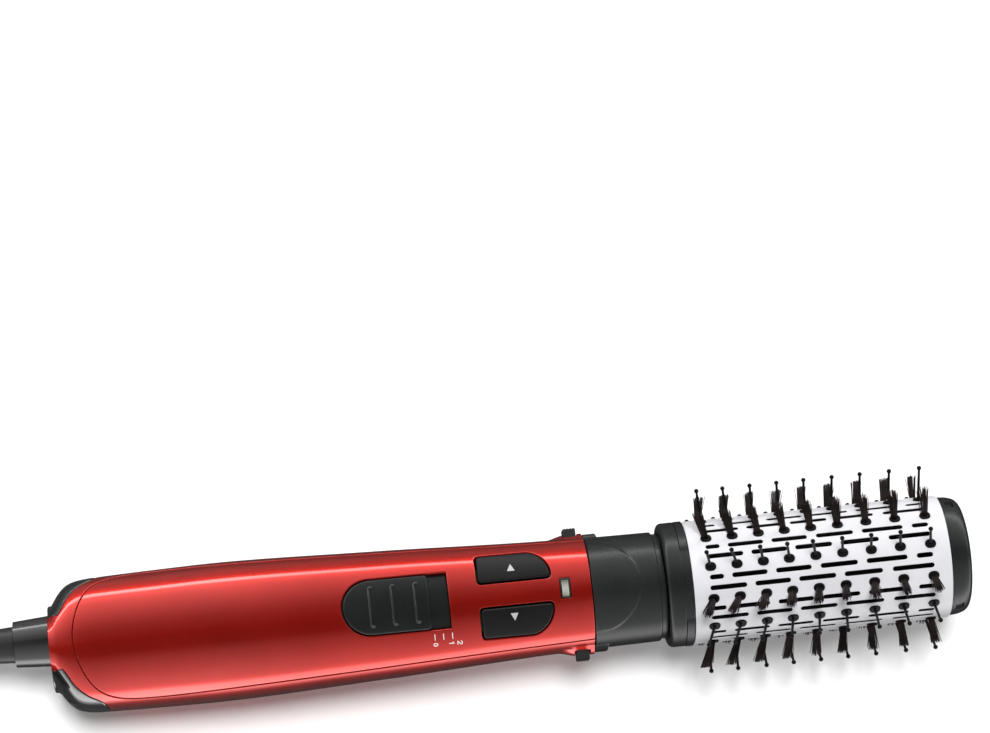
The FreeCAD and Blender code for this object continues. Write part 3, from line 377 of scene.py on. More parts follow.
class Turned:
    """A surface of revolution about the centre line: u is x and v the angle counted at radius rv."""
    def __init__(self, r_of_x, rv):
        self.r_of_x, self.rv = r_of_x, rv

    def base(self, uv):
        phi = uv[:, 1] / self.rv
        r = self.r_of_x(uv[:, 0])
        return np.stack([uv[:, 0], r * np.sin(phi), r * np.cos(phi)], 1)

    normal = Body.normal
    off = 0.0
    at = Body.at


class Flat:
    """A plane face at x that looks to -X: u is z and v is y."""
    off = 0.0

    def __init__(self, x):
        self.x = x

    def base(self, uv):
        return np.stack([np.full(len(uv), self.x), uv[:, 1], uv[:, 0]], 1)

    def normal(self, uv):
        return np.tile((-1.0, 0.0, 0.0), (len(uv), 1))

    at = Body.at


# ------------------------------------------------------------------ outlines
def dense(points, step, closed=True, cut=None):
    """The polyline with every edge divided to at most step; also says which of the new edges are cut edges."""
    p = np.asarray(points, float)
    out, flags = [], []
    n = len(p) if closed else len(p) - 1
    for i in range(n):
        a, b = p[i], p[(i + 1) % len(p)]
        k = max(1, int(math.ceil(np.linalg.norm(b - a) / step - 1e-6)))
        for j in range(k):
            out.append(a + (b - a) * j / k)
            flags.append(bool(cut[i]) if cut is not None else False)
    if not closed:
        out.append(p[-1])
    return np.array(out), np.array(flags)


def curve_through(points, step):
    p = np.asarray(points, float)
    t = np.concatenate([[0], np.cumsum(np.linalg.norm(np.diff(p, axis=0), axis=1))])
    k = max(2, int(t[-1] / step))
    return spline_table(t, p, np.linspace(0, t[-1], k + 1))


def arc3(a, m, b, step):
    """Points of the arc from a through m to b, without its last point."""
    a, m, b = map(lambda q: np.asarray(q, float), (a, m, b))
    ax, ay, bx, by, cx, cy = *a, *m, *b
    d = 2 * (ax * (by - cy) + bx * (cy - ay) + cx * (ay - by))
    ux = ((ax ** 2 + ay ** 2) * (by - cy) + (bx ** 2 + by ** 2) * (cy - ay) + (cx ** 2 + cy ** 2) * (ay - by)) / d
    uy = ((ax ** 2 + ay ** 2) * (cx - bx) + (bx ** 2 + by ** 2) * (ax - cx) + (cx ** 2 + cy ** 2) * (bx - ax)) / d
    c = np.array([ux, uy])
    r = np.linalg.norm(a - c)
    t0, tm, t1 = [math.atan2(*(q - c)[::-1]) for q in (a, m, b)]
    tm = (tm - t0) % (2 * math.pi)
    t1 = (t1 - t0) % (2 * math.pi)
    sweep = t1 if tm < t1 else t1 - 2 * math.pi
    k = max(2, int(abs(sweep) * r / step))
    return [c + r * np.array([math.cos(t0 + sweep * i / k), math.sin(t0 + sweep * i / k)]) for i in range(k)]


def rounded(points, radius, n=5):
    """Rounds the corners of a closed polygon that turn by more than 25 degrees; radius is one number or one for each corner."""
    p = [np.asarray(q, float) for q in points]
    rad = radius if hasattr(radius, "__len__") else [radius] * len(p)
    out = []
    for i, q in enumerate(p):
        a, b = p[i - 1] - q, p[(i + 1) % len(p)] - q
        la, lb = np.linalg.norm(a), np.linalg.norm(b)
        a, b = a / la, b / lb
        ang = math.acos(max(-1, min(1, float(a @ b))))
        if math.pi - ang < math.radians(25) or rad[i] <= 0:
            out.append(q)
            continue
        t = min(rad[i] / math.tan(ang / 2), 0.45 * la, 0.45 * lb)
        r = t * math.tan(ang / 2)
        bis = (a + b) / np.linalg.norm(a + b)
        c = q + bis * r / math.sin(ang / 2)
        s0, s1 = q + a * t - c, q + b * t - c
        th = math.acos(max(-1, min(1, float(s0 @ s1) / r / r)))
        for j in range(n + 1):
            f = j / n
            out.append(c + (math.sin((1 - f) * th) * s0 + math.sin(f * th) * s1) / math.sin(th))
    return np.array(out)


def top_uv(xy):
    """Points of the plan, looked at from the front, on the skin."""
    xy = np.asarray(xy, float)
    u = U_OF_X(xy[:, 0])
    x, w, zt, zb, n = stations(u)
    y = xy[:, 1]
    z = zt * np.clip(1 - np.abs(y / w) ** n, 0, 1) ** (1 / n)
    return np.stack([u, np.arctan2(y, z) * RV], 1)


def back_uv(xy):
    xy = np.asarray(xy, float)
    u = U_OF_X(xy[:, 0])
    x, w, zt, zb, n = stations(u)
    y = xy[:, 1]
    z = -zb * np.clip(1 - np.abs(y / w) ** n, 0, 1) ** (1 / n)
    return np.stack([u, np.arctan2(y, z) * RV], 1)


def area2(p):
    return 0.5 * float(np.sum(p[:, 0] * np.roll(p[:, 1], -1) - np.roll(p[:, 0], -1) * p[:, 1]))


def inside(points, loops):
    """True where a point is inside the outer loop and outside the holes, by crossing number over all edges."""
    a = np.concatenate(loops)
    b = np.concatenate([np.roll(q, -1, axis=0) for q in loops])
    res = np.zeros(len(points), bool)
    for s in range(0, len(points), 3000):
        p = points[s:s + 3000]
        y = p[:, 1][:, None]
        hit = (a[:, 1] > y) != (b[:, 1] > y)
        with np.errstate(divide="ignore", invalid="ignore"):
            xc = a[:, 0] + (y - a[:, 1]) * (b[:, 0] - a[:, 0]) / (b[:, 1] - a[:, 1])
        res[s:s + 3000] = ((hit & (p[:, 0][:, None] < xc)).sum(1) % 2) == 1
    return res


def far_from(points, loops, gap):
    a = np.concatenate(loops)
    b = np.concatenate([np.roll(q, -1, axis=0) for q in loops])
    d = b - a
    ll = np.maximum((d ** 2).sum(1), 1e-12)
    keep = np.zeros(len(points), bool)
    for s in range(0, len(points), 2000):
        p = points[s:s + 2000][:, None, :]
        t = np.clip(((p - a) * d).sum(2) / ll, 0, 1)
        q = a + d * t[..., None]
        keep[s:s + 2000] = ((p - q) ** 2).sum(2).min(1) > gap * gap
    return keep


def fill(loops, du, dv, gap, grid=None):
    """Triangles over the area inside the loops, on the loops' own points and a grid. Returns points and triangles; the loops' points come first."""
    pts = np.concatenate(loops)
    lo2, hi2 = loops[0].min(0), loops[0].max(0)
    if grid is None:
        gu = np.linspace(lo2[0], hi2[0], max(2, int(round((hi2[0] - lo2[0]) / du))) + 1)
        gv = np.linspace(lo2[1], hi2[1], max(2, int(round((hi2[1] - lo2[1]) / dv))) + 1)
        grid = np.stack(np.meshgrid(gu, gv, indexing="ij"), -1).reshape(-1, 2)
    if len(grid):
        grid = grid[inside(grid, loops)]
    if len(grid):
        grid = grid[far_from(grid, loops, gap)]
    allp = np.concatenate([pts, grid]) if len(grid) else pts
    edges, k = [], 0
    for q in loops:
        m_ = len(q)
        edges += [(k + i, k + (i + 1) % m_) for i in range(m_)]
        k += m_
    v, e, f, ov, oe, of_ = delaunay_2d_cdt([Vector(p) for p in allp], edges, [], 0, 1e-7)
    v = np.array([tuple(p) for p in v])
    tri = np.array([t for t in f if len(t) == 3], int)
    # back to our own numbering
    back = np.full(len(v), -1)
    for i, src in enumerate(ov):
        if src:
            back[i] = src[0]
    if (back < 0).any():
        raise RuntimeError("outline crosses itself: %d new points" % int((back < 0).sum()))
    cen = v[tri].mean(1)
    tri = back[tri[inside(cen, loops)]]
    p0, p1, p2 = allp[tri[:, 0]], allp[tri[:, 1]], allp[tri[:, 2]]
    cr2 = (p1[:, 0] - p0[:, 0]) * (p2[:, 1] - p0[:, 1]) - (p1[:, 1] - p0[:, 1]) * (p2[:, 0] - p0[:, 0])
    tri[cr2 < 0] = tri[cr2 < 0][:, ::-1]
    return allp, tri


def outward(loop, cut=None):
    """For each point of a loop with its material on the left, the mitred direction out of the material."""
    e = np.roll(loop, -1, axis=0) - loop
    ln = np.linalg.norm(e, axis=1)[:, None]
    en = np.stack([e[:, 1], -e[:, 0]], 1) / np.maximum(ln, 1e-12)
    prev = np.roll(en, 1, axis=0)
    if cut is None:
        cut = np.zeros(len(loop), bool)
    pc = np.roll(cut, 1)
    s = np.where(cut[:, None], 0, en) + np.where(pc[:, None], 0, prev)
    ns = np.linalg.norm(s, axis=1)[:, None]
    d = np.where(ns > 1e-6, s / np.maximum(ns, 1e-9), 0)
    cosv = np.where(cut, (d * prev).sum(1), (d * en).sum(1))
    k = np.where(cut & pc, 0.0, 1.0 / np.clip(cosv, 0.5, 1))
    return d * k[:, None], d


def shell(surf, outer, holes=(), du=2.0, dv=1.1, r=0.3, thick=2.0, cut=None, steps=3, back_scale=2.5, grid=None, hole_r=None):
    """Closed plate cut from a surface: the outline's edges are rounded, its walls go down by thick, and its back follows the surface.
    Returns points in the body's frame, faces, a normal for each corner and a group (0 face, 1 wall, 2 back) for each face."""
    outer = np.asarray(outer, float)
    if cut is None:
        cut = np.zeros(len(outer), bool)
    if area2(outer) < 0:
        outer = outer[::-1]
        cut = np.roll(cut[::-1], -1)
    loops, cuts, rr = [outer], [cut], [r]
    for h in holes:
        h = np.asarray(h, float)
        loops.append(h[::-1] if area2(h) > 0 else h)
        cuts.append(np.zeros(len(h), bool))
        rr.append(hole_r if hole_r is not None else r)
    verts, nrm, faces, cn, grp = [], [], [], [], []
    offs, dirs = zip(*[outward(q, c_) for q, c_ in zip(loops, cuts)])
    ang = [math.pi / 2 * k / steps for k in range(steps + 1)]
    # the flat part
    inner = [q - o * (rad * 1.0) for q, o, rad in zip(loops, offs, rr)]
    allp, tri = fill(inner, du, dv, 0.42 * min(du, dv), grid)
    p, n = surf.at(allp, np.zeros(len(allp)))
    verts.append(p)
    nrm.append(n)
    base = len(p)
    for t in tri:
        faces.append(tuple(int(i) for i in t))
        cn += [n[t[0]], n[t[1]], n[t[2]]]
        grp.append(0)
    first = []
    k = 0
    for q in loops:
        first.append(np.arange(k, k + len(q)))
        k += len(q)
    nv = base
    bottoms = []
    for li, (q, o, d, c_, rad) in enumerate(zip(loops, offs, dirs, cuts, rr)):
        ids, norms = first[li], n[first[li]]
        # the direction out of the material, in space
        eps = 0.02
        nb = surf.normal(q)
        tv = surf.base(q + d * eps) - surf.base(q)
        tv = tv - nb * (tv * nb).sum(1)[:, None]
        tl = np.linalg.norm(tv, axis=1)[:, None]
        tv = np.where(tl > 1e-9, tv / np.maximum(tl, 1e-9), 0)
        for a in ang[1:]:
            uv = q - o * (rad * (1 - math.sin(a)))
            pp, nn = surf.at(uv, np.full(len(q), rad * (1 - math.cos(a))))
            nn = nn * math.cos(a) + tv * math.sin(a)
            new = np.arange(nv, nv + len(q))
            verts.append(pp)
            nv += len(q)
            for i in range(len(q)):
                j = (i + 1) % len(q)
                if c_[i]:
                    continue
                faces.append((int(ids[i]), int(new[i]), int(new[j]), int(ids[j])))
                cn += [norms[i], nn[i], nn[j], norms[j]]
                grp.append(0)
            ids, norms = new, nn
        pp, nn = surf.at(q, np.full(len(q), thick))
        new = np.arange(nv, nv + len(q))
        verts.append(pp)
        nv += len(q)
        for i in range(len(q)):
            j = (i + 1) % len(q)
            if c_[i]:
                continue
            faces.append((int(ids[i]), int(new[i]), int(new[j]), int(ids[j])))
            cn += [norms[i], norms[i], norms[j], norms[j]]
            grp.append(1)
        bottoms.append(new)
    bp, bt = fill(loops, du * back_scale, dv * back_scale, 0.42 * min(du, dv) * back_scale, None if grid is None else grid[::3])
    nb_loop = sum(len(q) for q in loops)
    extra = bp[nb_loop:]
    ids = np.concatenate(bottoms)
    if len(extra):
        pp, nn = surf.at(extra, np.full(len(extra), thick))
        verts.append(pp)
        ids = np.concatenate([ids, np.arange(nv, nv + len(extra))])
        nv += len(extra)
    nall = surf.normal(bp)
    for t in bt:
        t = t[::-1]
        faces.append(tuple(int(ids[i]) for i in t))
        cn += [-nall[t[0]], -nall[t[1]], -nall[t[2]]]
        grp.append(2)
    return np.concatenate(verts), faces, np.array(cn), np.array(grp)


def weld(v, faces, cn, grp, tol=1e-4):
    """Joins points that coincide and drops points without a face."""
    key = np.round(v / tol).astype(np.int64)
    _, idx, inv = np.unique(key, axis=0, return_index=True, return_inverse=True)
    inv = inv.reshape(-1)
    nf, ncn, ng, k = [], [], [], 0
    for f, g in zip(faces, grp):
        g2 = tuple(int(inv[i]) for i in f)
        if len(set(g2)) == len(g2):
            nf.append(g2)
            ncn.append(cn[k:k + len(f)])
            ng.append(g)
        k += len(f)
    used = np.unique(np.concatenate([np.array(f) for f in nf]))
    remap = np.full(len(idx), -1)
    remap[used] = np.arange(len(used))
    return v[idx][used], [tuple(int(remap[i]) for i in f) for f in nf], np.concatenate(ncn), np.array(ng)


def merge(parts):
    vs, fs, cs, gs, k = [], [], [], [], 0
    for v, f, c, g in parts:
        vs.append(v)
        fs += [tuple(i + k for i in q) for q in f]
        cs.append(c)
        gs.append(g)
        k += len(v)
    return np.concatenate(vs), fs, np.concatenate(cs), np.concatenate(gs)


def emit(name, part, mats, body, nodes, groups=None):
    """A mesh object in the row frame that rides on a body and stands for CAD nodes. groups gives the material index of each face group."""
    v, f, cn, g = part
    me = bpy.data.meshes.new(name)
    me.from_pydata(to_world(v).tolist(), [], f)
    for mname in mats:
        me.materials.append(MAT[mname])
    if groups is not None:
        me.polygons.foreach_set("material_index", np.array([groups[int(i)] for i in g], np.int32))
    me.polygons.foreach_set("use_smooth", np.ones(len(f), bool))
    ncw = dir_world(cn)
    ncw = ncw / np.maximum(np.linalg.norm(ncw, axis=1)[:, None], 1e-9)
    me.normals_split_custom_set(ncw.tolist())
    me.update()
    ob = link(bpy.data.objects.new(name, me))
    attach(ob, body)
    if nodes:
        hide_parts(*nodes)
    return ob


def plain(name, v, f, mats, body, nodes=(), angle=35.0, world_space=False):
    """A mesh with smooth shading and sharp edges by angle."""
    me = bpy.data.meshes.new(name)
    me.from_pydata((np.asarray(v) if world_space else to_world(v)).tolist(), [], f)
    for mname in mats:
        me.materials.append(MAT[mname])
    me.polygons.foreach_set("use_smooth", np.ones(len(f), bool))
    me.set_sharp_from_angle(angle=math.radians(angle))
    me.update()
    ob = link(bpy.data.objects.new(name, me))
    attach(ob, body)
    if nodes:
        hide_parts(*nodes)
    return ob


def spin(profile, seg, centre=(0.0, 0.0), field=None, phi0=0.0):
    """Solid of revolution about a line along X from a closed profile of (x, r); points with r = 0 lie on the axis.
    field(x, r, phi) gives the new radius, for raised and sunk details."""
    p = np.asarray(profile, float)
    m_, verts, index = len(p), [], []
    phi = phi0 + 2 * math.pi * np.arange(seg) / seg
    for x, r in p:
        if r < 1e-9:
            index.append([len(verts)] * seg)
            verts.append((x, centre[0], centre[1]))
        else:
            rr = np.full(seg, r) if field is None else field(np.full(seg, x), np.full(seg, r), phi)
            index.append(list(range(len(verts), len(verts) + seg)))
            verts += [(x, centre[0] + q * math.sin(a), centre[1] + q * math.cos(a)) for q, a in zip(rr, phi)]
    faces = []
    for i in range(m_):
        j = (i + 1) % m_
        a, b = index[i], index[j]
        if p[i][1] < 1e-9 and p[j][1] < 1e-9:
            continue
        for k in range(seg):
            l = (k + 1) % seg
            q = (a[k], b[k], b[l], a[l])
            q = tuple(dict.fromkeys(q))
            if len(q) > 2:
                faces.append(q)
    v = np.array(verts)
    # outward faces: the profile may run either way
    if area2(p) > 0:
        faces = [f[::-1] for f in faces]
    return v, faces


# ------------------------------------------------------------------ outlines on the handle, as the CAD has them
HALF = [(8.9, 0.0), (9.4, 4.6), (10.7, 9.2), (12.9, 14.0), (16.2, 18.0), (21.5, 20.5), (30.0, 21.55), (50.0, 21.75),
        (86.0, 20.9), (123.0, 19.6), (158.0, 18.3), (188.2, 17.4)]
X_FRONT = 187.65


def cover_plan(inset):
    """The front cover's edge in plan, from the lower front corner round the rear to the upper front corner."""
    up = []
    for i, (x, y) in enumerate(HALF):
        a, b = HALF[max(i - 1, 0)], HALF[min(i + 1, len(HALF) - 1)]
        if i == 0:
            n = (-1.0, 0.0)
        else:
            dx, dy = b[0] - a[0], b[1] - a[1]
            ln = math.hypot(dx, dy)
            n = (-dy / ln, dx / ln)
        up.append((x - n[0] * inset, y - n[1] * inset))
    pts = curve_through([(x, -y) for x, y in reversed(up[1:])] + up, 0.9)
    pts = pts[pts[:, 0] < X_FRONT - 0.3]
    y_end = abs(pts[-1][1]) - 0.01
    return np.concatenate([[(X_FRONT, -y_end)], pts, [(X_FRONT, y_end)]])


def button_plan(g, sign=1):
    p = [(148.9 - g, 4.6 - g), (173.5 + g, 4.6 - g)]
    p += [tuple(q) for q in arc3((173.7 + g, 5.9), (171.6 + g * 0.8, 11.3 + g * 0.5), (167.0, 14.1 + g), 0.7)]
    p += [(167.0, 14.1 + g), (148.9 - g, 14.1 + g)]
    return [(x, sign * y) for x, y in p]


def switch_plan(x1, yh, xa):
    """The D shaped plan of the switch: straight to x1, round at the rear with its end at xa."""
    return [(111.0, yh), (x1, yh), (x1, -yh)] + [tuple(q) for q in arc3((111.0, -yh), (xa, 0.0), (111.0, yh), 0.7)]


def soft(points, h, step=0.6):
    """Closed outline with its corners eased: a running mean over h to each side along the edge."""
    p, _ = dense(points, 0.2)
    t = np.concatenate([[0], np.cumsum(np.linalg.norm(np.diff(np.vstack([p, p[:1]]), axis=0), axis=1))])
    n = int(t[-1] / 0.1)
    s_ = np.arange(n) * t[-1] / n
    q = np.stack([np.interp(s_, t, np.append(p[:, k], p[0, k])) for k in (0, 1)], 1)
    m_ = int(round(h / (t[-1] / n)))
    acc = sum(np.roll(q, d, axis=0) for d in range(-m_, m_ + 1)) / (2 * m_ + 1)
    return acc[::max(1, int(round(step / 0.1)))]


def rect(x0, x1, y0, y1):
    return [(x0, y0), (x1, y0), (x1, y1), (x0, y1)]


def plan_hole(points, radius=0.3, step=0.8):
    return top_uv(dense(rounded(points, radius, 4), step)[0])


def uvline(x0, v0, x1, v1, step=0.9):
    a, b = np.array([float(U_OF_X(x0)), v0]), np.array([float(U_OF_X(x1)), v1])
    k = max(1, int(math.ceil(np.linalg.norm(b - a) / step)))
    return [a + (b - a) * i / k for i in range(k)]


def loop_of(pieces, cuts):
    """Joins pieces of outline, each without its last point, and marks the edges of the cut pieces."""
    pts, cut = [], []
    for p, c_ in zip(pieces, cuts):
        pts += [tuple(q) for q in p]
        cut += [c_] * len(p)
    return np.array(pts), np.array(cut)


HALF_V = math.pi * RV
# the wing of the black cap beside the painted tongue, in plan
WING = [(17.4, 21.8), (13.6, 19.8), (10.2, 17.4), (7.7, 14.6), (6.0, 11.6), (4.6, 9.4)]


def wing_uv(g, sign, tongue=9.4):
    """From the widest point of the body to the tongue's corner; g shifts the line towards the rear and outwards."""
    p = [(x - g, y + g) for x, y in WING]
    c = curve_through([(18.6 - g, 23.1)] + p, 0.9)
    q = top_uv([(x, sign * y) for x, y in c])
    q[0] = (float(U_OF_X(18.6 - g)), sign * HALF_V / 2)
    return q


# painted rear shell and the rim round the cover
cov = top_uv(cover_plan(-0.08))
wing = wing_uv(0.0, 1)
v_cov = cov[-1][1]
tong = top_uv(dense([(4.6, 9.4), (0.4, 9.4), (0.4, -9.4), (4.6, -9.4)], 0.9, closed=False)[0])
pieces = [uvline(18.6, -HALF_V, X_FRONT, -HALF_V, 1.2), uvline(X_FRONT, -HALF_V, X_FRONT, -v_cov), cov[:-1],
          uvline(X_FRONT, v_cov, X_FRONT, HALF_V), uvline(X_FRONT, HALF_V, 18.6, HALF_V, 1.2),
          uvline(18.6, HALF_V, 18.6, HALF_V / 2), wing[:-1], tong[:-1], wing_uv(0.0, -1)[::-1][:-1],
          uvline(18.6, -HALF_V / 2, 18.6, -HALF_V)]
outer, cut = loop_of(pieces, [True, False, False, False, True] + [False] * 5)
holes = []
for s in (1, -1):
    vv = s * HALF_V / 2
    h = 3.9 * RV / 21.3
    c4 = [(float(U_OF_X(180.7)), vv - h), (float(U_OF_X(186.0)), vv - h), (float(U_OF_X(186.0)), vv + h), (float(U_OF_X(180.7)), vv + h)]
    holes.append(dense(rounded(c4, 0.4, 4), 0.7)[0])
for sy in (10.5, -10.5):
    ring = [(92.0 + 2.9 * math.cos(a), sy + 2.9 * math.sin(a)) for a in np.linspace(0, 2 * math.pi, 29)[:-1]]
    q = back_uv(ring)
    holes.append(q)
part = shell(Body(), outer, holes, du=3.0, dv=1.25, r=0.28, thick=1.9, cut=cut)
part = weld(*part)
emit("housing_shell", part, ["red_paint", "red_seam_shade", "inside_shade_black"], "handle", ["main_housing"], (0, 1, 2))

# painted front cover
cp = cover_plan(0.14)
cuv = top_uv(cp)
front = [np.array([float(U_OF_X(X_FRONT)), v]) for v in np.linspace(cuv[-1][1], cuv[0][1], 44)][1:-1]
outer = np.concatenate([cuv, front])
holes = [plan_hole(switch_plan(138.2, 9.9, 101.1), 0.5), top_uv(soft(button_plan(0.56), 1.5, 0.7)), top_uv(soft(button_plan(0.56, -1), 1.5, 0.7)),
         plan_hole(rect(176.8, 180.4, -3.55, 3.55), 0.35)]
part = shell(Body(), outer, holes, du=2.6, dv=1.2, r=0.28, thick=1.9, hole_r=0.42, steps=4)
emit("face_cover", part, ["red_paint", "red_seam_shade", "inside_shade_black"], "handle", ["front_cover"], (0, 1, 2))

# black inlet cap with its louvres and the grille in its end
wing = wing_uv(0.12, 1)
v0 = float(top_uv([(0.4, 9.52)])[0][1])
side_in = top_uv(dense([(0.4, 9.52), (4.48, 9.52)], 0.8, closed=False)[0])
low = np.concatenate([side_in[:-1], wing[::-1][:-1]])
hi = low[::-1].copy()
hi[:, 1] = 2 * HALF_V - hi[:, 1]
xe = 18.48
mid = uvline(xe, HALF_V / 2, xe, 1.5 * HALF_V)
back = uvline(0.4, 2 * HALF_V - v0, 0.4, v0)
outer = np.concatenate([low, mid, [(float(U_OF_X(xe)), 1.5 * HALF_V)], hi, back[1:]])
holes = []
for k in range(19):
    vc = math.radians(72 + 12 * k) * RV
    c4 = [(float(U_OF_X(3.0)), vc - 0.95), (float(U_OF_X(7.4)), vc - 0.85), (float(U_OF_X(7.4)), vc + 0.85), (float(U_OF_X(3.0)), vc + 0.95)]
    holes.append(dense(rounded(c4, 0.35, 3), 0.8)[0])
cap_part = shell(Body(), outer, holes, du=1.5, dv=1.1, r=0.45, thick=1.7, hole_r=0.22)
# end plate
th = np.linspace(0, 2 * math.pi, 73)[:-1]
wz, zt, zb, nn = 13.09 - 2.05, 16.93 - 2.05, 14.9 - 2.05, 2.3
yy = wz * np.sign(np.sin(th)) * np.abs(np.sin(th)) ** (2 / nn)
zz = np.where(np.cos(th) > 0, zt, zb) * np.sign(np.cos(th)) * np.abs(np.cos(th)) ** (2 / nn)
zz = np.minimum(zz, 14.55)
outer = np.stack([zz, yy], 1)
holes = [np.array([(5.5 + 7.2 * math.cos(a), 2.3 + 7.2 * math.sin(a)) for a in np.linspace(0, 2 * math.pi, 49)[:-1]])]
for k in range(5):
    z0 = -12.2 + 1.95 * k
    half = min(8.0, wz * max(0.02, 1 - abs(z0 / zb) ** nn) ** (1 / nn) - 1.3)
    holes.append(dense(rounded([(z0, -half), (z0 + 0.9, -half), (z0 + 0.9, half), (z0, half)], 0.3, 3), 1.2)[0])
plate = shell(Flat(0.6), outer, holes, du=1.6, dv=1.6, r=0.2, thick=1.9, hole_r=0.1)
emit("inlet_cap", merge([cap_part, plate]), ["black_gloss", "black_gloss", "inside_shade_black"], "handle", ["rear_inlet_cap"], (0, 1, 2))

# ------------------------------------------------------------------ the controls
def bar_uv(points, width, step=0.5):
    """Outline in the surface's plane of a bar of one width that follows the points, with round ends."""
    p, _ = dense(points, step, closed=False)
    t = np.gradient(p, axis=0)
    t /= np.linalg.norm(t, axis=1)[:, None]
    nrm_ = np.stack([-t[:, 1], t[:, 0]], 1)
    h = width / 2
    left, right = p + nrm_ * h, p - nrm_ * h
    cap1 = [p[-1] + h * (t[-1] * math.cos(a) + nrm_[-1] * math.sin(a)) for a in np.linspace(math.pi / 2, -math.pi / 2, 7)[1:-1]]
    cap0 = [p[0] + h * (-t[0] * math.cos(a) - nrm_[0] * math.sin(a)) for a in np.linspace(math.pi / 2, -math.pi / 2, 7)[1:-1]]
    return np.concatenate([left, cap1, right[::-1], cap0])


def ridge(path_xy, width, off, lift):
    """A low rib with a rounded crown along a path in plan, on the skin raised by off."""
    p, _ = dense(path_xy, 0.35, closed=False)
    t = np.gradient(p, axis=0)
    t /= np.linalg.norm(t, axis=1)[:, None]
    nr = np.stack([-t[:, 1], t[:, 0]], 1)
    rows = []
    n = 9
    for j in range(n):
        a = math.pi * j / (n - 1)
        rows.append((width / 2 * math.cos(a), lift * math.sin(a) - 0.06))
    body = Body(off)
    v, f = [], []
    m_ = len(p)
    ends = np.sqrt(np.clip(1 - np.clip((0.5 * width - np.minimum(np.arange(m_), m_ - 1 - np.arange(m_)) * 0.35) / (0.5 * width), 0, 1) ** 2, 0.02, 1))
    for i in range(m_):
        q = np.array([p[i] + nr[i] * w_ * ends[i] for w_, _h in rows])
        uv = top_uv(q)
        pt, nn_ = body.at(uv, np.array([-(h_ + 0.06) * ends[i] + 0.06 for _w, h_ in rows]))
        v.append(pt)
    v = np.concatenate(v)
    for i in range(m_ - 1):
        for j in range(n - 1):
            f.append((i * n + j, (i + 1) * n + j, (i + 1) * n + j + 1, i * n + j + 1))
        f.append((i * n + n - 1, (i + 1) * n + n - 1, (i + 1) * n, i * n))
    f.append(tuple(range(n)))
    f.append(tuple((m_ - 1) * n + j for j in reversed(range(n))))
    return v, f


def join_plain(parts_):
    vs, fs, k = [], [], 0
    for v, f in parts_:
        vs.append(v)
        fs += [tuple(i + k for i in q) for q in f]
        k += len(v)
    return np.concatenate(vs), fs


def flat_mark(loops_xy, off, mats, name, body):
    """A printed mark: a very thin closed plate on the skin."""
    ps = []
    for lp in loops_xy:
        q = top_uv(np.asarray(lp))
        ps.append(shell(Body(off), q, (), du=0.8, dv=0.8, r=0.008, thick=0.05, steps=1))
    emit(name, merge(ps), mats, body, [])


# slide switch
kp = [(111.1, 9.5), (131.4, 9.5), (131.4, -9.5)] + [tuple(q) for q in arc3((111.1, -9.5), (101.55, 0.0), (111.1, 9.5), 0.6)]
knob = shell(Body(0.45), top_uv(soft(kp, 1.3, 0.6)), (), du=1.4, dv=1.0, r=0.75, thick=1.5, steps=5)
emit("switch_thumb", knob, ["switch_black", "switch_black", "inside_shade_black"], "switch", ["switch_knob"], (0, 1, 2))
rib = []
for rx in (110.7, 118.5, 126.4):
    path = [(rx + 1.5, 6.3), (rx + 0.55, 6.75), (rx + 0.12, 6.2), (rx, 5.2), (rx, -5.2), (rx + 0.12, -6.2), (rx + 0.55, -6.75), (rx + 1.5, -6.3)]
    path = curve_through(path, 0.35)
    rib.append(ridge(path, 0.9, 0.45, 0.58))
v_, f_ = join_plain(rib)
plain("switch_ribs", v_, f_, ["rib_black"], "switch", (), 50)
pp = [(111.0, 9.75), (138.05, 9.75), (138.05, -9.75)] + [tuple(q) for q in arc3((111.0, -9.75), (101.25, 0.0), (111.0, 9.75), 0.7)]
slot_h = plan_hole(rect(112.6, 125.0, -2.4, 2.4), 0.3)
plate_p = shell(Body(-1.75), top_uv(dense(pp, 0.8)[0]), [slot_h], du=2.0, dv=1.2, r=0.12, thick=1.15)
emit("switch_slide_plate", plate_p, ["switch_black", "switch_black", "inside_shade_black"], "handle", ["switch_plate"], (0, 1, 2))

# rotation buttons with their arrows
for s, body, node, nm in ((1, "button_up", "rotate_button_up", "upper"), (-1, "button_down", "rotate_button_down", "lower")):
    q = top_uv(soft(button_plan(0.0, s), 1.35, 0.6))
    btn = shell(Body(0.55), q, (), du=1.3, dv=0.9, r=0.75, thick=2.6, steps=5)
    emit("rotation_button_" + nm, btn, ["button_black", "button_black", "inside_shade_black"], body, [node], (0, 1, 2))
    cx, cy = (160.5, 8.9) if s > 0 else (160.1, -7.9)
    tri = [(cx - 1.35, cy - s * 1.2), (cx + 1.35, cy - s * 1.2), (cx, cy + s * 1.3)]
    flat_mark([dense(tri, 0.7)[0]], 0.565, ["mark_grey"], "arrow_" + nm, body)

# light window
lens_p = shell(Body(-0.25), plan_hole(rect(177.3, 179.9, -3.05, 3.05), 0.3), (), du=0.9, dv=0.9, r=0.2, thick=1.5)
emit("light_window", lens_p, ["lens"], "handle", ["indicator_lens"])
fr = shell(Body(0.12), plan_hole(rect(176.9, 180.3, -3.45, 3.45), 0.35), [plan_hole(rect(177.25, 179.95, -3.1, 3.1), 0.25)],
           du=0.8, dv=0.8, r=0.10, thick=1.5, steps=3)
emit("light_window_frame", fr, ["black_gloss"], "handle", ["indicator_frame"])

# printed scale beside the switch: three ticks and the figures 0, 1 and 2, read from the brush end
marks = []
for tx in (132.1, 135.1, 138.2):
    marks.append(dense(rect(tx - 0.13, tx + 0.13, -13.2, -11.2), 0.8)[0])


def stroke(points, w=0.28):
    return bar_uv(np.array(points), w, 0.25)


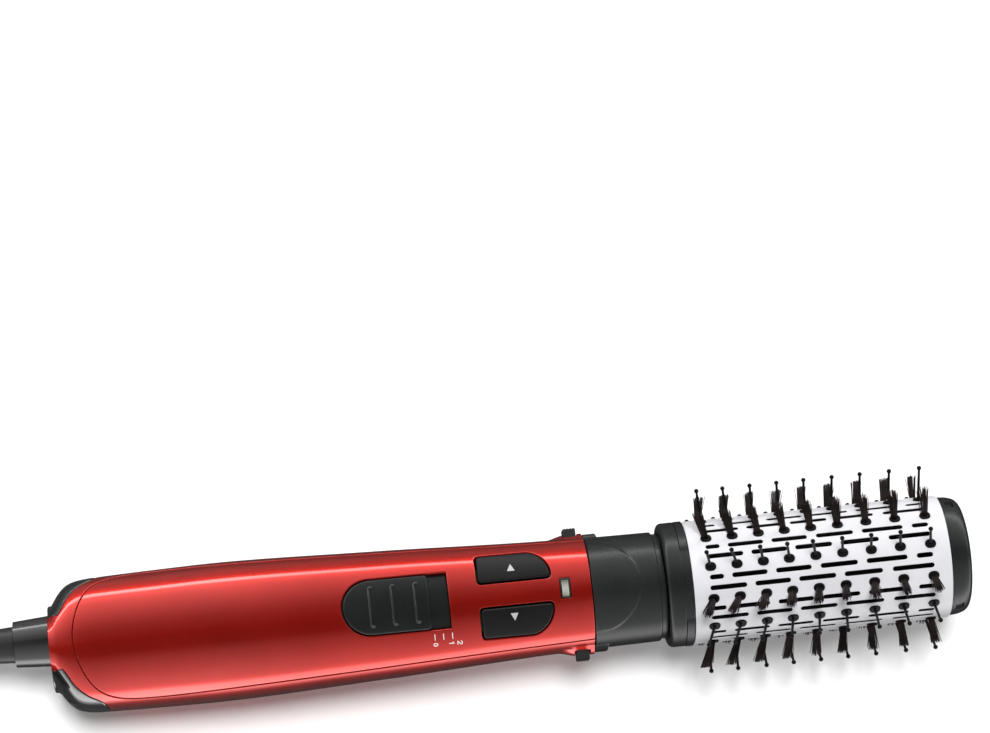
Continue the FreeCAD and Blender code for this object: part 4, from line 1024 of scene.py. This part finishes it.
def figure(kind, cx, cy):
    """A figure 1.6 mm tall, turned to be read along the body's width, as outlines with their holes."""
    if kind == "0":
        a = np.linspace(0, 2 * math.pi, 25)[:-1]
        return [([(cx + 0.85 * math.cos(t), cy + 0.55 * math.sin(t)) for t in a], [(cx + 0.55 * math.cos(t), cy + 0.27 * math.sin(t)) for t in a])]
    if kind == "1":
        return [(stroke([(cx - 0.8, cy), (cx + 0.8, cy)]), None), (stroke([(cx + 0.74, cy + 0.1), (cx + 0.45, cy + 0.42)]), None)]
    pts = [(cx + 0.4, cy + 0.5), (cx + 0.75, cy + 0.22), (cx + 0.75, cy - 0.18), (cx + 0.42, cy - 0.45), (cx + 0.05, cy - 0.25), (cx - 0.35, cy + 0.15), (cx - 0.78, cy + 0.48)]
    return [(stroke(curve_through(pts, 0.2)), None), (stroke([(cx - 0.8, cy + 0.5), (cx - 0.8, cy - 0.5)]), None)]


ps = []
for kind, cx in (("0", 132.2), ("1", 137.7), ("2", 140.6)):
    for o_, h_ in figure(kind, cx, -14.55):
        ps.append(shell(Body(0.012), top_uv(o_), [top_uv(h_)] if h_ is not None else (), du=0.6, dv=0.6, r=0.006, thick=0.05, steps=1))
for lp in marks:
    ps.append(shell(Body(0.012), top_uv(lp), (), du=0.6, dv=0.6, r=0.006, thick=0.05, steps=1))
emit("speed_scale", merge(ps), ["mark_white"], "handle", [])

# ------------------------------------------------------------------ the barrel
ROW_X = [229.2, 238.4, 247.6, 256.7, 266.0, 275.4, 285.4, 295.6, 306.2]
SLOTS_A = [(228.5, 233.4), (236.3, 248.6), (251.6, 264.0), (267.2, 280.2), (283.3, 297.6), (300.9, 306.6)]
SLOTS_B = [(228.3, 241.1), (244.0, 256.4), (259.3, 272.2), (275.2, 288.6), (292.1, 306.7)]


def stadium(x0, x1, width, vc, n=6):
    h = width / 2
    p = [(x1 - h + h * math.cos(a), vc + h * math.sin(a)) for a in np.linspace(-math.pi / 2, math.pi / 2, n + 1)]
    p += [(x0 + h - h * math.cos(a), vc - h * math.sin(a)) for a in np.linspace(-math.pi / 2, math.pi / 2, n + 1)]
    return dense(p, 2.2)[0]


BR = 21.5
bv = lambda deg: math.radians(deg) * BR
bar_s = Turned(lambda x: np.full(len(x), BR), BR)
vl, vh = bv(-6.0), bv(24.0)
seam = np.linspace(222.6, 312.9, 46)
endv = np.linspace(vl, vh, 13)
outer = [(x, vl) for x in seam[:-1]] + [(312.9, v) for v in endv[:-1]] + [(x, vh) for x in seam[::-1][:-1]] + [(222.6, v) for v in endv[::-1][:-1]]
cut = np.array([True] * 45 + [False] * 12 + [True] * 45 + [False] * 12)
holes = [stadium(a, b, 1.65, bv(20.0)) for a, b in SLOTS_A] + [stadium(a, b, 1.65, bv(10.0)) for a, b in SLOTS_B]
holes += [stadium(x - 1.95, x + 1.95, 3.1, 0.0, 8) for x in ROW_X]
sector = shell(bar_s, outer, holes, du=2.6, dv=1.0, r=0.25, thick=1.6, cut=cut, hole_r=0.22)


def turned(part, deg):
    v, f, c_, g = part
    a = math.radians(deg)
    m_ = np.array([(1, 0, 0), (0, math.cos(a), math.sin(a)), (0, -math.sin(a), math.cos(a))])
    return v @ m_.T, f, c_ @ m_.T, g


part = weld(*merge([turned(sector, 5.0 + 30.0 * k) for k in range(12)]), tol=2e-3)
# the slot walls and the inner surface carry painted shade: both are near-black so the inside of the barrel reads dark
emit("ceramic_barrel", part, ["barrel_white", "slot_wall_shade", "inside_shade_black"], "brush", ["barrel"], (0, 1, 2))

# ------------------------------------------------------------------ bristle tufts
rng = random.Random(41)
PIN_FAN = (-8.0, 7.0)
TUFT_SET = {35.0: (-2.5, -2.35, -2.3, -1.7, -1.45, -0.5, -0.8, -0.65, 0.0),
            95.0: (1.9, 1.65, 1.4, 1.9, 1.7, 2.1, 2.0, 1.9, 1.1),
            275.0: (-4.0, -3.9, -3.5, -3.1, -1.9, -1.65, -1.2, -0.4, 0.0),
            335.0: (-3.7, -3.9, -3.1, -2.1, -1.9, -1.6, -1.0, -0.4, 0.3)}
TUFT_LEAN = {35.0: 7.5, 335.0: -4.0}
hv, hf = [], []


def hair(foot, tip, bend, r0, r1):
    """One filament: a thin tapered four-sided tube with a slight bend."""
    n, sides, k = 4, 4, len(hv)
    d = tip - foot
    d = d / np.linalg.norm(d)
    a = np.cross(d, (0.31, 0.77, 0.2))
    a = a / np.linalg.norm(a)
    b = np.cross(d, a)
    for i in range(n):
        t = i / (n - 1)
        p = foot + (tip - foot) * t + bend * (t * t)
        r = r0 + (r1 - r0) * t
        for j in range(sides):
            an = 2 * math.pi * j / sides
            hv.append(tuple(p + (a * math.cos(an) + b * math.sin(an)) * r))
    for i in range(n - 1):
        for j in range(sides):
            l = (j + 1) % sides
            hf.append((k + i * sides + j, k + i * sides + l, k + (i + 1) * sides + l, k + (i + 1) * sides + j))
    hf.append(tuple(k + j for j in reversed(range(sides))))
    hf.append(tuple(k + (n - 1) * sides + j for j in range(sides)))


for row in (35.0, 95.0, 155.0, 215.0, 275.0, 335.0):
    a = math.radians(row)
    rot = np.array([(1, 0, 0), (0, math.cos(a), math.sin(a)), (0, -math.sin(a), math.cos(a))])
    for i, hx in enumerate(ROW_X):
        fan = math.radians(PIN_FAN[0] + (PIN_FAN[1] - PIN_FAN[0]) * i / 8)
        dx = TUFT_SET[row][i] if row in TUFT_SET else 9.7 * math.tan(fan)
        ln = math.radians(TUFT_LEAN.get(row, 2.5) + rng.uniform(-0.8, 0.8))
        crown = np.array([hx + dx + rng.uniform(-0.2, 0.2), 31.2 * math.sin(ln), 31.2 * math.cos(ln)])
        base = np.array([hx, 0, 21.2])
        axis = crown - base
        reach = np.linalg.norm(axis)
        axis = axis / reach
        side1, side2 = np.array([1.0, 0, 0]), np.array([0, 1.0, 0])
        for h_ in range(66):
            rr_, an = math.sqrt(rng.random()), rng.uniform(0, 2 * math.pi)
            e1, e2 = rr_ * math.cos(an), rr_ * math.sin(an)
            foot = base + side1 * e1 * 0.95 + side2 * e2 * 0.72 - np.array([0, 0, 0.5])
            ln_ = reach - rng.random() ** 3 * 1.5
            spread = 0.085 if rng.random() < 0.93 else 0.17
            dirn = axis + side1 * e1 * spread + side2 * e2 * spread * 0.9
            tip = foot + dirn * ln_
            rad = math.hypot(tip[1], tip[2])
            if rad > 31.15:
                tip = foot + dirn * ln_ * (31.15 - 20.7) / (rad - 20.7)
            bend = side1 * rng.uniform(-0.22, 0.22) + side2 * rng.uniform(-0.22, 0.22)
            m0, m1 = foot @ rot.T, tip @ rot.T
            hair(m0, m1, bend @ rot.T, 0.16, 0.105)
plain("bristle_hairs", np.array(hv), hf, ["bristle"], "brush", ["bristle_tufts"], 180)

# ------------------------------------------------------------------ fixed collar of the brush head
def collar_field(x, r, phi):
    """Raised D shaped pad at the front and the two tabs at the sides."""
    y, z = r * np.sin(phi), r * np.cos(phi)
    out = r.copy()
    edge = np.where(x < 193.0, 15.6 - (x - 187.9) * 0.078, 0.0)
    # arc through (193, 15.2) and (204.9, 0)
    cxa = (204.9 ** 2 - 193.0 ** 2 - 15.2 ** 2) / (2 * (204.9 - 193.0))
    ra = 204.9 - cxa
    edge = np.where(x >= 193.0, np.sqrt(np.clip(ra ** 2 - (x - cxa) ** 2, 0, None)), edge)
    d = np.where(z > 0, edge - np.abs(y), -9.0)
    front = 204.9 - x
    d = np.minimum(d, front * 0.75)
    pad = np.clip(d / 0.35, 0, 1)
    out = out + 0.27 * pad * pad * (3 - 2 * pad) * (r > 18.9)
    t = np.minimum(3.6 - np.abs(z), 192.4 - x)
    tab = np.clip(t / 0.3 + 0.5, 0, 1)
    tab = tab * tab * (3 - 2 * tab)
    want = np.where(r > 18.9, 20.66, r)
    return out + (want - out) * tab * (r > 18.9) * (np.abs(y) > 10)


prof = [(187.92, 14.5), (187.92, 19.0), (188.0, 19.25), (188.2, 19.4)]
prof += [(x, 19.4 - 0.3 * (x - 187.9) / 23.5) for x in np.linspace(188.7, 210.9, 56)]
prof += [(211.2, 19.02), (211.38, 18.85), (211.4, 18.55), (211.4, 18.3), (213.2, 18.3), (213.38, 18.2), (213.4, 18.0), (213.4, 16.5), (205.2, 16.5), (204.8, 17.0),
         (190.0, 17.0), (189.6, 15.7), (177.7, 15.7), (177.5, 15.5), (177.5, 14.6), (177.7, 14.4), (187.8, 14.4)]
cv, cf = spin(prof, 264, field=collar_field)
# inside, the bush's seat on its four spokes
iv, if_ = spin([(205.0, 6.95), (205.0, 8.2), (212.0, 8.2), (212.0, 6.95)], 48)
sp4 = []
for k in range(4):
    a = math.radians(45 + 90 * k)
    rot = np.array([(1, 0, 0), (0, math.cos(a), math.sin(a)), (0, -math.sin(a), math.cos(a))])
    p = np.array([(x, y, z) for x in (206.0, 211.0) for y in (-0.9, 0.9) for z in (7.9, 16.8)])
    sp4.append((p @ rot.T, [(0, 1, 3, 2), (4, 6, 7, 5), (0, 4, 5, 1), (2, 3, 7, 6), (0, 2, 6, 4), (1, 5, 7, 3)]))
v_, f_ = join_plain([(cv, cf), (iv, if_)] + sp4)
plain("neck_collar", v_, f_, ["collar_grey"], "head", ["head_collar"], 38)


# brush ring with its three raised lands and grip groove
def ring_field(x, r, phi):
    out = r.copy()
    for k in range(3):
        d = np.abs((np.degrees(phi) - (50 + 120 * k) + 180) % 360 - 180) * math.pi / 180 * 21.75
        t = np.clip((9.5 - d) / 0.4 + 0.5, 0, 1) * ((x > 219.6) & (x < 222.3))
        out = np.where(r > 21.0, out + (21.98 - out) * t * t * (3 - 2 * t), out)
    return out


prof = [(213.9, 18.8), (213.9, 20.5), (213.97, 20.75), (214.15, 21.05), (214.5, 21.42), (214.9, 21.64), (215.4, 21.74), (216.0, 21.75), (217.2, 21.75), (218.4, 21.75),
        (219.3, 21.75), (219.42, 21.7), (219.5, 21.56), (219.62, 21.55), (219.8, 21.55), (220.4, 21.55), (221.2, 21.55), (221.9, 21.55), (222.2, 21.5), (222.4, 21.3), (222.5, 21.1),
        (222.5, 19.75), (227.0, 19.75), (227.0, 18.3), (216.0, 18.3), (214.1, 18.6)]
rv_, rf_ = spin(prof, 216, field=ring_field)
web = [spin([(216.2, 6.2), (216.2, 8.0), (222.0, 8.0), (222.0, 6.2)], 48)]
for k in range(6):
    a = math.radians(60 * k)
    rot = np.array([(1, 0, 0), (0, math.cos(a), math.sin(a)), (0, -math.sin(a), math.cos(a))])
    p = np.array([(x, y, z) for x in (216.6, 220.6) for y in (-0.8, 0.8) for z in (7.8, 18.6)])
    web.append((p @ rot.T, [(0, 1, 3, 2), (4, 6, 7, 5), (0, 4, 5, 1), (2, 3, 7, 6), (0, 2, 6, 4), (1, 5, 7, 3)]))
v_, f_ = join_plain([(rv_, rf_)] + web)
plain("barrel_ring", v_, f_, ["collar_grey"], "brush", ["brush_ring"], 38)


# end cap, its three notches and its dished face
def cap_field(x, r, phi):
    out = r.copy()
    for k in range(3):
        d = np.abs((np.degrees(phi) - (52 + 120 * k) + 180) % 360 - 180) * math.pi / 180 * 20.5
        t = np.clip((1.6 - d) / 0.3 + 0.5, 0, 1) * ((x > 314.6) & (x < 317.4))
        out = np.where(r > 19.9, out - 0.85 * t * t * (3 - 2 * t), out)
    return out


prof = [(308.5, 18.0), (308.5, 19.6), (308.7, 19.75), (312.95, 19.75), (312.95, 20.6), (313.05, 20.74), (313.2, 20.8), (313.8, 20.79), (314.5, 20.76), (314.68, 20.75), (314.8, 20.74), (315.6, 20.68), (316.4, 20.59),
        (317.2, 20.41), (317.32, 20.38), (317.5, 20.32), (318.2, 20.1), (318.9, 19.8), (319.5, 19.35), (319.95, 18.85), (320.25, 18.3), (320.5, 17.6), (320.64, 17.0), (320.7, 16.4),
        (320.7, 15.6), (320.5, 14.6), (320.3, 13.4), (320.2, 12.0), (320.2, 6.4), (320.35, 5.6), (320.5, 4.8), (320.5, 3.5), (320.3, 3.3), (318.3, 3.3), (318.2, 1.75), (312.0, 1.75), (312.0, 5.6), (318.4, 5.6), (318.5, 17.7), (318.3, 17.9), (308.8, 17.9)]
ev, ef = spin(prof, 240, field=cap_field)
plain("tip_cap", ev, ef, ["collar_grey"], "brush", ["end_cap"], 38)


# ------------------------------------------------------------------ floor and light
fm = bpy.data.meshes.new("floor")
fm.from_pydata([(-6, -6, 0), (6, -6, 0), (6, 6, 0), (-6, 6, 0)], [], [(0, 1, 2, 3)])
floor = link(bpy.data.objects.new("floor", fm))
m, nt, b = node_mat("floor_white")
b.inputs["Base Color"].default_value = (0.86, 0.86, 0.86, 1)
b.inputs["Roughness"].default_value = 0.9
b.inputs["Specular IOR Level"].default_value = 0.1
fm.materials.append(m)
floor.visible_glossy = False
floor.location.z = -0.0002
floor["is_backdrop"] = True

world = bpy.data.worlds.new("studio")
scene.world = world
world.use_nodes = True
wn, wl = world.node_tree.nodes, world.node_tree.links
bg = wn["Background"]
wtc = wn.new("ShaderNodeTexCoord")
wsep = wn.new("ShaderNodeSeparateXYZ")
wl.new(wtc.outputs["Generated"], wsep.inputs["Vector"])
wat = wn.new("ShaderNodeMath")
wat.operation = "ARCTAN2"
wl.new(wsep.outputs["Y"], wat.inputs[0])
wl.new(wsep.outputs["Z"], wat.inputs[1])
wmr = wn.new("ShaderNodeMapRange")
wmr.inputs["From Min"].default_value, wmr.inputs["From Max"].default_value = -math.pi, math.pi
wl.new(wat.outputs["Value"], wmr.inputs["Value"])
wr = wn.new("ShaderNodeValToRGB")
wl.new(wmr.outputs["Result"], wr.inputs["Fac"])
# the light tent is a little dimmer over the front end of the handle
wxr = wn.new("ShaderNodeMapRange")
wxr.inputs["From Min"].default_value, wxr.inputs["From Max"].default_value = -0.1, 0.3
wl.new(wsep.outputs["X"], wxr.inputs["Value"])
wxc = wn.new("ShaderNodeValToRGB")
wl.new(wxr.outputs["Result"], wxc.inputs["Fac"])
for i, (pos, v) in enumerate([(0.20, 1.0), (0.50, 0.70), (0.67, 0.72), (0.80, 1.0)]):
    e = wxc.color_ramp.elements[i] if i < 2 else wxc.color_ramp.elements.new(pos)
    e.position = pos
    e.color = (v, v, v, 1)
wmul = wn.new("ShaderNodeMix")
wmul.data_type, wmul.blend_type = "RGBA", "MULTIPLY"
wmul.inputs[0].default_value = 1.0
wl.new(wr.outputs["Color"], wmul.inputs[6])
wl.new(wxc.outputs["Color"], wmul.inputs[7])
wl.new(wmul.outputs[2], bg.inputs["Color"])
WORLD_STOPS = [(-180, 0.05), (-138, 0.10), (-130, 0.8), (-122, 2.8), (-103, 2.8), (-96, 1.25), (-90, 0.98), (-72, 0.84), (-54, 0.60), (-40, 0.43),
               (-26, 0.29), (-12, 0.05), (5, 0.02), (14, 0.19), (27, 0.45), (42, 0.72), (57, 0.98), (70, 1.2), (73.5, 5.8),
               (78.5, 5.8), (81, 0.20), (105, 0.30), (130, 0.08), (180, 0.05)]
cr = wr.color_ramp
while len(cr.elements) > 1:
    cr.elements.remove(cr.elements[-1])
cr.elements[0].position = 0.0
for i, (deg, v) in enumerate(WORLD_STOPS):
    pos = (deg + 180) / 360.0
    e = cr.elements[0] if i == 0 else cr.elements.new(pos)
    e.position = pos
    e.color = (v, v, v, 1)
bg.inputs["Strength"].default_value = 1.0

sun_d = bpy.data.lights.new("key", "SUN")
sun_d.energy = 3.2
sun_d.angle = math.radians(20)
sun = link(bpy.data.objects.new("key", sun_d))
sun.rotation_mode = "QUATERNION"
sun.rotation_quaternion = Vector((0.02, -0.12, -1.0)).to_track_quat("-Z", "Y")
sun.visible_glossy = False

scene.view_settings.view_transform = "Standard"
scene.view_settings.look = "None"
scene.view_settings.exposure = 0.0

lo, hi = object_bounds()
